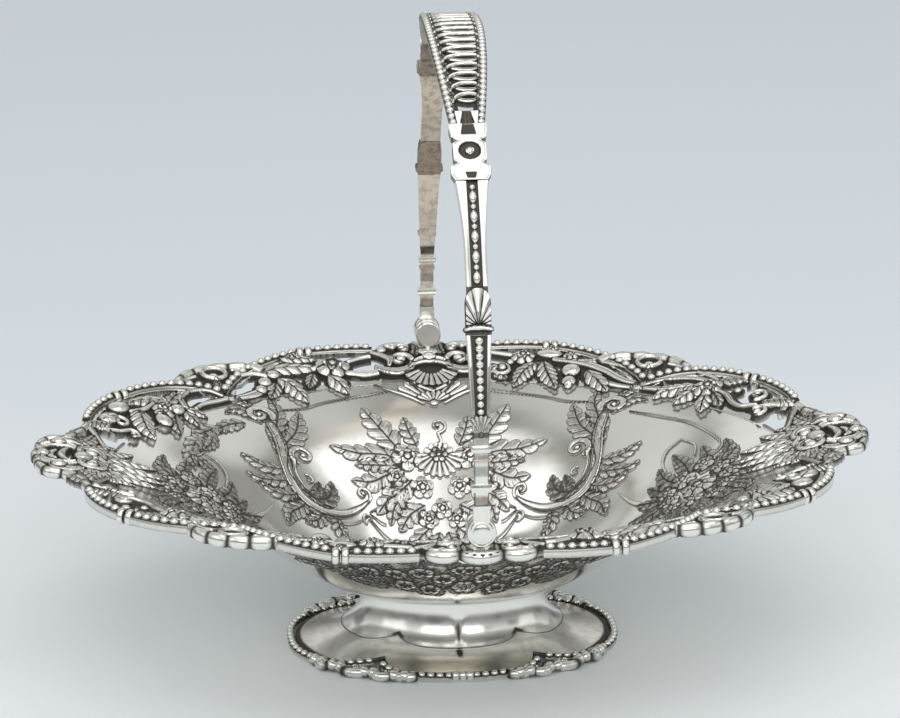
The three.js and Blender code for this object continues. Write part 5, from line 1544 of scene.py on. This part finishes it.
def arch_length(angle):
    """How far along the arch from its top an angle lies."""
    return np.interp(angle, *arch_table())


def arch_surface(x, y):
    """A drawing's x across the arch and y along it."""
    angle, length = arch_table()
    point, up = arch_frame(np.interp(y, length, angle))
    point[:, 0] = x
    return point, up


def arch_sweep(start, end, count, profile_at, patina_and_shade=0):
    """A section carried along the arch. profile_at gives the section's places from the share of the way."""
    share = np.linspace(0, 1, count)
    point, up = arch_frame(start + (end - start) * share)
    return swept(point, ACROSS, up, [profile_at(s) for s in share], patina_and_shade)


def arch_beads(angles, across, out, radii):
    """Balls at some angles of the arch, a distance across it and a distance out from it."""
    point, up = arch_frame(angles)
    point = point + up * out
    point[:, 0] += across
    return beads(point, ACROSS, up, radii, 12, 5)


def crown_half(angle):
    """Half the crown's width at an angle of the arch."""
    return 12.65 - (12.65 - 7.25) * (angle / CROWN_END) ** 2


def angle_of(length):
    angle, lengths = arch_table()
    return np.interp(length, lengths, angle)


def crown_relief():
    """The crown's pierced strip: a running coil of flat rings between two narrow beaded lines, with a fluted
    leaf at each end of it."""
    end = arch_length(CROWN_END)
    relief = Relief((-13, -end - 0.5), (13, end + 0.5), 0.34)
    x, y = np.abs(relief.x), relief.y
    half = crown_half(angle_of(y))
    inner, left = half - 3.1, end - np.abs(y)
    pitch = 6.3
    rings = int((2 * (end - 8.4) - 6) / pitch) + 1
    for k in range(rings):
        middle = -pitch * (rings - 1) / 2 + pitch * k
        wide = crown_half(angle_of(middle)) - 3.6
        for first, rise in ((np.pi / 2, 1.4), (-np.pi / 2, 2.2)):
            turn = np.linspace(first, first + np.pi, 16)
            along = middle + pitch * turn / (2 * np.pi) + 3.3 * np.cos(turn)
            stroke = np.column_stack([wide * np.sin(turn), along])
            relief.ribbon(stroke, (1.8, 2.3, 2.5, 2.3, 1.8), rise, lines=0.2, smooth=False, outline=0.7)
    dots = 0.5 + 0.5 * np.cos(y / 1.5 * 2 * np.pi)
    relief.lay(..., np.minimum(inner + 0.3 - x, x - inner + 0.9), 1.1 + 0.4 * dots, 0.95 - 0.6 * dots, 0.5)
    relief.plate(np.minimum(half - x, x - inner - 0.2), 1, 0.5)
    # Painted shadow: the web round the rings is near black, standing for the piercings between them.
    relief.web(np.minimum(inner - x, left), 1.3, 0, 0.95)
    fade = 1 - left / 6.8
    leaf = 1.4 + 1.3 * fade - x
    flute = 0.72 + 0.28 * np.cos(x * 4.2)
    relief.lay(..., np.min([leaf, left - 0.2, fade * 6.8], axis=0), 1.6, flute, 0.4)
    relief.lay(..., np.min([inner + 0.2 - x, fade * 6.8, x - 1.6 - 1.3 * fade], axis=0), 1.9, 0, 0.5)
    relief.keep(half - x)
    relief.keep(left)
    return relief


def crown_solid():
    """The crown's pierced strip with its two rows of large beads, each in its own rail."""
    end = arch_length(CROWN_END)
    count = int(round(2 * end / 3.2))
    angles = angle_of(((np.arange(count) + 0.5) / count * 2 - 1) * end)
    angle = np.linspace(-CROWN_END, CROWN_END, 90)
    profile = [(-1.25, -1.2), (-1.25, 0.6), (-0.8, 0.95), (0.8, 0.95), (1.25, 0.6), (1.25, -1.2)]
    rows, rims = [], []
    for sign in (-1, 1):
        rows.append(arch_beads(angles, sign * (crown_half(angles) - 1.65), 0.55, 1.75))
        point, up = arch_frame(angle)
        point[:, 0] = sign * (crown_half(angle) - 1.3)
        # Painted shade: each rail is dark along its top, under its beads.
        rims.append(swept(point, ACROSS, up, profile, np.tile((0.2, 0.3, 0.6, 0.6, 0.3, 0.2), 90)))
    return joined(cast(crown_relief(), arch_surface, level(1.15), 0.35), *rows, *rims)


def boss_solid():
    """The block below the crown: ears, a square with a ring and a ball, and wider ears that end it."""
    start, end = arch_length(CROWN_END) + 0.3, arch_length(BOSS_END)
    relief = Relief((-10, start), (10, end), 0.3)
    x, y = np.abs(relief.x), relief.y
    share, ends = (y - start) / (end - start), np.minimum(y - start, end - y)
    notch = sum(deep * np.exp(-((share - at) / 0.035) ** 2) for at, deep in ((0.30, 1.9), (0.70, 2)))
    wide = 7.9 - 0.9 * np.clip(share - 0.1, 0, 0.2) / 0.2 + 1.3 * held((share - 0.66) / 0.1) - notch
    wide = wide - 1.6 * held((share - 0.9) / 0.1)
    relief.plate(np.minimum(wide - x, ends + 0.02), 2, 0.05)
    relief.height += 0.5 * held((wide - x) / 1.6)
    centre = start + 0.49 * (end - start)
    ring = np.hypot(x / 4.7, (y - centre) / 4.2)
    dish = (ring < 1) & (ring > 0.4)
    relief.height[dish] -= held((1 - ring[dish]) / 0.16)
    relief.line = np.maximum(relief.line, dish * (0.95 - 0.45 * np.exp(-((ring - 0.72) / 0.07) ** 2)))
    relief.ball((0, centre), 2, 3.1, outline=0.6)
    for low, high, half_low, half_high in ((0, 0.2, 2.4, 3.3), (0.86, 0.97, 2.6, 1.7)):
        reach = half_low + (half_high - half_low) * ((share - low) / (high - low)) - x
        mark = np.minimum(reach, np.minimum(share - low, high - share) * (end - start))
        relief.line = np.maximum(relief.line, held(mark / 0.3) * (0.8 + 0.2 * np.cos(x * 4.2)))
        relief.height -= 0.5 * held(mark / 0.4)
    relief.keep(ends)
    return cast(relief, arch_surface, level(2.1), 0.9)


def channel(half, wall=1.5, top=2.1, depth=1.3):
    """A bar's section with raised rounded edges and a sunk floor."""
    right = [
        (half, -top), (half + 0.05, top - 0.9), (half - 0.35, top - 0.1), (half - wall * 0.5, top + 0.05),
        (half - wall + 0.1, top - 0.3), (half - wall, top - depth)]
    left = [(-x, y) for x, y in right]
    return [left[0], *right, *left[:0:-1]]


def with_tone(solid, back, floor=None):
    """Tints the points that face the inside of the arch warm, as a painted reflection, and marks the
    channel's floor as dark.
    """
    scale = np.array([mm("handle_half_span"), mm("handle_rise")])
    ring = np.hypot(*((solid.points[:, 1:] - (0, PIVOT_HEIGHT / MM)) / scale).T)
    # Painted reflection: a warm tint on the faces inside the arch.
    solid.warm = back * (ring < 1 - 0.3 / scale.mean())
    if floor is not None:
        lies = (ring - 1) * scale.mean()
        solid.patina_and_shade = np.maximum(solid.patina_and_shade, ((lies > floor[0]) & (lies < floor[1])) * 0.55)
    return solid


def darken_and_warm_bands(solid, bands):
    """Darkens or warms the bands of the arch that lie between two angles: (low, high, patina, warm) each."""
    span, rise = mm("handle_half_span"), mm("handle_rise")
    y, z = np.abs(solid.points[:, 1]), solid.points[:, 2] - PIVOT_HEIGHT / MM
    angle = np.degrees(np.arctan2(y / span, z / rise))
    for low, high, patina_and_shade, warm in bands:
        on = (angle > low) & (angle < high)
        solid.patina_and_shade[on] = np.maximum(solid.patina_and_shade[on], patina_and_shade)
        solid.warm[on] = np.maximum(solid.warm[on], warm)
    return solid


def upper_leg_solid():
    """A bar with broad raised edges, and a string of round and long beads along its sunk middle."""
    start, end = BOSS_END + 0.1, UPPER_END - 0.1

    def section(share):
        half = 4.5 + 2.4 * max(0, 1 - share * 1.5) ** 1.6
        return channel(half, half - 2.35)
    bar = with_tone(arch_sweep(start, end, 48, section), 0.6, FLOOR)
    low, high = arch_length(start) + 1.6, arch_length(end) - 0.4
    rows = []
    for along, radius, stretch in ((0.12, 1.35, 1), (0.62, 1.7, 1.75)):
        angles = angle_of(low + (high - low) / 5 * (np.arange(5) + along))
        point, up = arch_frame(angles)
        row = arch_beads(angles, 0, 1.15, radius)
        each = len(row.points) // 5
        ahead = np.repeat(np.cross(ACROSS, up), each, 0)
        reach = np.einsum("ij,ij->i", row.points - np.repeat(point, each, 0), ahead)
        row.points += ahead * (reach * (stretch - 1))[:, None]
        rows.append(row)
    return joined(bar, *rows)


def leg_shell_solid():
    """The scallop shell over the joint of the two legs, and the ring below it."""
    start, end = arch_length(UPPER_END), arch_length(SHELL_END) - 0.25
    relief = Relief((-7, start), (7, end), 0.3)
    x, y = np.abs(relief.x), relief.y
    dome, base = start + 0.3, end - 3.4
    half = 5.3 * np.sqrt(held(1 - held((dome + 7.2 - y) / 7.2) ** 2.4)) ** 0.9
    relief.plate(np.minimum(np.maximum(half, 4.4) - x, y - start + 0.02), 1.3, 0.5)
    far = np.hypot(x, y - base)
    place = np.degrees(np.arctan2(relief.x, base - y)) / 19 + 0.5
    lobe = np.abs(np.sin(np.pi * place))
    ribs = groove(place, far * 0.33, 0.42) * (far > 1.6)
    reach = np.min([half - 0.15 * (1 - lobe) - x, y - dome, base - y], axis=0)
    relief.lay(..., reach, 1.6 + 0.9 * held(far / 6) + 0.7 * lobe, ribs * 0.8, 0.6)
    relief.ribbon([(-5.2, base + 1.2), (0, base + 0.6), (5.2, base + 1.2)], (2.2, 3, 2.2), 3.5)
    relief.keep(np.minimum(y - start, end - y))
    return cast(relief, arch_surface, level(2.1), 0.9)


def lower_leg_solid():
    """A beaded channel that narrows, a small shell, then a plain ankle with moulded rings."""
    start, end = SHELL_END, BEADS_END
    wide, narrow = 5.2, 3.75

    def section(share):
        return channel(wide - (wide - narrow) * share**0.8, 1.8 - 0.3 * share)

    def ankle(share):
        half, top = 3.75 - 0.8 * min(1, share * 3.2), 1.9
        right = [(half, -top), (half + 0.05, top - 0.7), (half - 0.5, top)]
        return [(-half, -top), *right, *((-x, y) for x, y in right[:0:-1])]
    bar = with_tone(arch_sweep(start, end, 36, section), 0.55, FLOOR)
    share = (np.arange(10) + 0.5) / 10
    low, high = arch_length(start) + 0.6, arch_length(end) - 0.8
    row = arch_beads(angle_of(low + (high - low) * share), 0, 1.35, 1.95 - 0.45 * share)
    blocks = [with_tone(arch_sweep(end - 0.05, ANKLE_END, 24, ankle), 0.4)]
    for angle, half_length, wide_by, proud in (
        (78.7, 0.95, 4.1, 2.1), (83.9, 1.1, 4.3, 2.25), (80.2, 0.3, 3.5, 2.05)):
        half = angle_of(arch_length(angle) + half_length * 1.6) - angle
        right = [(wide_by, -proud), (wide_by + 0.15, 0), (wide_by, proud - 0.3), (wide_by - 0.5, proud)]
        ring = np.array([(-wide_by, -proud), *right, *((-x, y) for x, y in right[:0:-1])])
        blocks.append(arch_sweep(
            angle - half, angle + half, 4, lambda s: ring * (0.9, 1, 1, 0.9)[int(round(s * 3))]))
    first, last = arch_length(end) - 1.5, arch_length(end) + 8.0
    relief = Relief((-6, first), (6, last), 0.3)
    relief.fan((0, last - 1), -90, 8.4, 70, 5, 3, 0.15)
    relief.ball((0, last - 1.2), 1.3, 3)
    shell = cast(relief, arch_surface, level(-0.8))
    return darken_and_warm_bands(joined(bar, row, *blocks, shell), (
        (76.3, 77.6, 0.42, 0.1), (79.4, 80.6, 0.2, 0.6), (81, 82.6, 0.28, 0), (84.9, 86.3, 0.26, 0.7)))


def eye_solid():
    """The ring that turns on the pin, with the neck above it."""
    disc = turned(pairs((
        -2.3, 2.6, -2.3, 5.7, -1.8, 6.15, 1.5, 6.15, 1.9, 5.9, 2, 5, 2.3, 4.7, 2.3, 2.6,
    )) + (mm("handle_half_span"), 0), PIVOT_HEIGHT / MM, 48)
    section = [(-3.4, -2.1), (3.4, -2.1), (3.5, 1.6), (2.9, 2.1), (-2.9, 2.1), (-3.5, 1.6)]
    return joined(disc, arch_sweep(ANKLE_END + 0.1, 88.6, 4, lambda share: section))


class BASKET_OT_handle(bpy.types.Operator):
    """Make the arched handle: the pierced crown, bosses, legs, shells and eyes."""

    bl_idname = "basket.handle"
    bl_label = "Handle"

    def execute(self, context):
        make_piece("crown", crown_solid(), "handle_silver", "handle_crown")
        parts = {
            "boss": boss_solid(), "upper_leg": upper_leg_solid(), "shell": leg_shell_solid(),
            "lower_leg": lower_leg_solid(), "eye": eye_solid(),
        }
        for side, sy in SIDES:
            for key, solid in parts.items():
                make_piece(f"{key}_{side}", solid.mirrored(1, sy), "handle_silver", f"handle_{key}_{side}")
        return {"FINISHED"}


# Materials

def add_node(tree, kind, output=0, options=None, inputs=None):
    """Makes any node, sets its options, then sets or links its inputs, and returns one of its outputs."""
    node = tree.nodes.new(kind)
    for key, value in (options or {}).items():
        setattr(node, key, value)
    for key, value in (inputs or {}).items():
        if isinstance(value, Shade):
            tree.links.new(value.socket, node.inputs[key])
        else:
            node.inputs[key].default_value = value
    return Shade(tree, node.outputs[output])


class Shade:
    """A shader value that takes part in sums, so that a formula is written as one."""

    def __init__(self, tree, socket):
        self.tree = tree
        self.socket = socket

    def _math(self, operation, *others):
        return add_node(
            self.tree, "ShaderNodeMath", 0, {"operation": operation}, dict(enumerate((self, *others))))

    def __add__(self, other):
        return self._math("ADD", other)

    def __mul__(self, other):
        return self._math("MULTIPLY", other)

    __radd__ = __add__
    __rmul__ = __mul__

    def clamped(self):
        return add_node(self.tree, "ShaderNodeClamp", inputs={"Value": self})

    def above(self, low, high):
        """0 below low and 1 above high, smooth between."""
        return add_node(
            self.tree, "ShaderNodeMapRange", 0, {"interpolation_type": "SMOOTHSTEP"},
            {"Value": self, "From Min": low, "From Max": high})


class Paint:
    """The node tree of a material or of the world."""

    def __init__(self, owner, output):
        owner.use_nodes = True
        self.tree = owner.node_tree
        self.tree.nodes.clear()
        self.output = self.tree.nodes.new(output)

    def node(self, kind, output=0, options=None, **inputs):
        """A node whose inputs are given by name, with _ for a space."""
        inputs = {key.replace("_", " "): value for key, value in inputs.items()}
        return add_node(self.tree, kind, output, options, inputs)

    def finish(self, shader):
        self.tree.links.new(shader.socket, self.output.inputs["Surface"])

    def attribute(self, name):
        return self.node("ShaderNodeAttribute", "Fac", {"attribute_name": name})

    def place(self, kind="Object"):
        return self.node("ShaderNodeTexCoord", kind)

    def noise(self, scale, detail=3, roughness=0.5, kind="Object"):
        where = self.place(kind)
        return self.node(
            "ShaderNodeTexNoise", "Fac", Vector=where, Scale=scale, Detail=detail, Roughness=roughness)

    def blend(self, share, first, second):
        """A colour between two, each given as three numbers or as a shader value."""
        first, second = (value if isinstance(value, Shade) else (*value, 1) for value in (first, second))
        return add_node(
            self.tree, "ShaderNodeMix", 2, {"data_type": "RGBA"}, {0: share, 6: first, 7: second})


# Each slot's roughness and how strong its broad waves are
SILVER = {"raised_silver": (0.12, 1.0), "cast_silver": (0.17, 0.5), "handle_silver": (0.16, 0.5)}


def silver_material(slot):
    """Polished silver: bright metal, dark and dull in its tarnish and its painted shade, warm in the painted
    reflection inside the handle and in the warm tints elsewhere, with the fine waves of hand work.
    """
    name = f"{slot}_surface"
    if name in bpy.data.materials:
        return bpy.data.materials[name]
    roughness, waves = SILVER[slot]
    material = bpy.data.materials.new(name)
    paint = Paint(material, "ShaderNodeOutputMaterial")
    colours = settings()
    grime = paint.noise(420, 4)
    cloud = paint.noise(38, 3)
    patina_and_shade, warm_tint_and_reflection = paint.attribute("patina_and_shade"), paint.attribute("warm")
    # Dark where the tarnish lies and where shade is painted.
    dark = (patina_and_shade * (0.78 + grime * 0.44)).above(0.07, 0.52)
    # Warm tint: a painted reflection inside the handle, a warm tone on the foot and on the ankle bands.
    warm = warm_tint_and_reflection * (0.75 + cloud * 0.3)
    bright = paint.blend(cloud.above(0.35, 0.75) * 0.10, colours.silver, (0.80, 0.785, 0.74))
    toned = paint.blend(warm.clamped(), bright, colours.warm)
    spots = warm_tint_and_reflection * paint.noise(300, 5, 0.7).above(0.42, 0.66) * 0.8
    base = paint.blend(
        dark * 0.95, paint.blend(spots.clamped(), toned, (0.20, 0.13, 0.085)), colours.patina_and_shade)
    rough = roughness + dark * 0.38 + warm * 0.14 + grime * 0.05 + paint.noise(90, 2) * 0.05
    waviness = paint.noise(26, 2) * 0.55 * waves + paint.noise(150, 3) * 0.10 + paint.noise(1400, 2) * 0.012
    bump = paint.node("ShaderNodeBump", Height=waviness, Strength=0.28, Distance=0.0012)
    paint.finish(paint.node(
        "ShaderNodeBsdfPrincipled", Base_Color=base, Roughness=rough.clamped(), Metallic=1, Normal=bump))
    return material


# The stage

def floor_material():
    """A pale floor, lighter and greyer in front of the basket and darker and bluer behind it. The change in
    lightness is a painted gradient of light.
    """
    material = bpy.data.materials.new("pale_floor")
    paint = Paint(material, "ShaderNodeOutputMaterial")
    parts = paint.node("ShaderNodeSeparateXYZ", "Y", Vector=paint.place())
    # Painted light: the near colour is lighter than the far one.
    base = paint.blend(parts.above(-0.12, 0.5), settings().floor_near, settings().floor_far)
    paint.finish(paint.node(
        "ShaderNodeBsdfPrincipled", Base_Color=base, Roughness=0.75, Specular_IOR_Level=0.25))
    return material


def studio_world():
    """Soft light that is brightest above, greyer towards the horizon, with darker bands that silver needs."""
    world = bpy.data.worlds.new("studio")
    paint = Paint(world, "ShaderNodeOutputWorld")
    parts = paint.node("ShaderNodeSeparateXYZ", "Z", Vector=paint.place("Generated"))
    colour = paint.node("ShaderNodeValToRGB", Fac=parts * 0.5 + 0.5)
    stops = (
        (0, 0.45), (0.47, 0.45), (0.52, 0.24), (0.58, 0.30), (0.66, 0.60), (0.76, 0.98), (0.88, 0.78),
        (1, 0.62))
    ramp = colour.socket.node.color_ramp.elements
    while len(ramp) < len(stops):
        ramp.new(0.5)
    for element, (position, value) in zip(ramp, stops):
        element.position = position
        element.color = (value, value * 1.005, value * 0.995, 1)
    strength = paint.noise(2.6, 1, kind="Generated").above(0.36, 0.50) * 0.56 + 0.34
    paint.finish(paint.node("ShaderNodeBackground", Color=colour, Strength=strength))
    bpy.context.scene.world = world


def put(name, data, place, aim):
    """Puts a lamp or a camera at a place, facing along aim."""
    holder = bpy.data.objects.new(name, data)
    holder.location = place
    holder.rotation_euler = aim.to_track_quat("-Z", "Y").to_euler()
    bpy.context.scene.collection.objects.link(holder)
    return holder


def soft_lamp(name, place, target, size, power):
    """A rectangular lamp that faces a target."""
    lamp = bpy.data.lights.new(name, "AREA")
    lamp.shape = "RECTANGLE"
    lamp.size, lamp.size_y = size
    lamp.energy = power
    put(name, lamp, place, Vector(target) - Vector(place))


class BASKET_OT_stage(bpy.types.Operator):
    """Make the floor, the light and the camera."""

    bl_idname = "basket.stage"
    bl_label = "Stage"

    def execute(self, context):
        scene = context.scene
        turn, radii = full_turn(96), np.array([0.6, 2, 7])[:, None]
        rings = np.stack([np.cos(turn) * radii, np.sin(turn) * radii, np.zeros((3, 96))], -1).reshape(-1, 3)
        mesh = bpy.data.meshes.new("floor")
        faces = [face for part in ring_faces(3, 96, poles=1) for face in part.tolist()]
        mesh.from_pydata([*rings.tolist(), (0, 0, 0)], [], faces)
        mesh.materials.append(floor_material())
        floor = bpy.data.objects.new("floor", mesh)
        scene.collection.objects.link(floor)
        studio_world()
        soft_lamp("top_light", (0.1, -0.6, 1.9), (0, -0.1, 0.1), (2.2, 1.8), 11)
        soft_lamp("left_light", (-1.6, -0.9, 1.1), (0, 0, 0.12), (1.1, 1.3), 2.4)
        soft_lamp("front_light", (0, -2.4, 1.3), (0, -0.7, 0), (2.4, 0.8), 12)
        soft_lamp("right_light", (1.7, -0.3, 0.9), (0, 0, 0.12), (0.8, 1.2), 1.2)
        camera = bpy.data.cameras.new("camera")
        camera.sensor_width = 36
        camera.lens = 36 * 4580 / 900
        camera.clip_end = 50
        rise, yaw, away = math.radians(18.2), math.radians(-5), 2.0
        back = Vector((math.sin(yaw) * math.cos(rise), -math.cos(yaw) * math.cos(rise), math.sin(rise)))
        scene.camera = put("camera", camera, Vector((-0.001, 0, 0.1304)) + back * away, -back)
        scene.view_settings.view_transform = "Standard"
        return {"FINISHED"}


OPERATORS = (
    BASKET_OT_stage, BASKET_OT_bowl, BASKET_OT_border, BASKET_OT_foot, BASKET_OT_hinges, BASKET_OT_handle)


class BASKET_PT_panel(bpy.types.Panel):
    """The basket's steps and settings."""

    bl_label = "Basket"
    bl_idname = "BASKET_PT_panel"
    bl_space_type = "VIEW_3D"
    bl_region_type = "UI"
    bl_category = "Basket"

    def draw(self, context):
        for operator in OPERATORS:
            self.layout.operator(operator.bl_idname)
        for name in BasketSettings.__annotations__:
            self.layout.prop(context.scene.basket, name)


CLASSES = (BasketSettings, *OPERATORS, BASKET_PT_panel)


def register():
    for item in CLASSES:
        bpy.utils.register_class(item)
    bpy.types.Scene.basket = bpy.props.PointerProperty(type=BasketSettings)


def unregister():
    del bpy.types.Scene.basket
    for item in reversed(CLASSES):
        bpy.utils.unregister_class(item)


def main():
    """Makes the basket and its stage."""
    register()
    for operator in OPERATORS:
        group, name = operator.bl_idname.split(".")
        getattr(getattr(bpy.ops, group), name)()


if __name__ == "__main__":
    main()
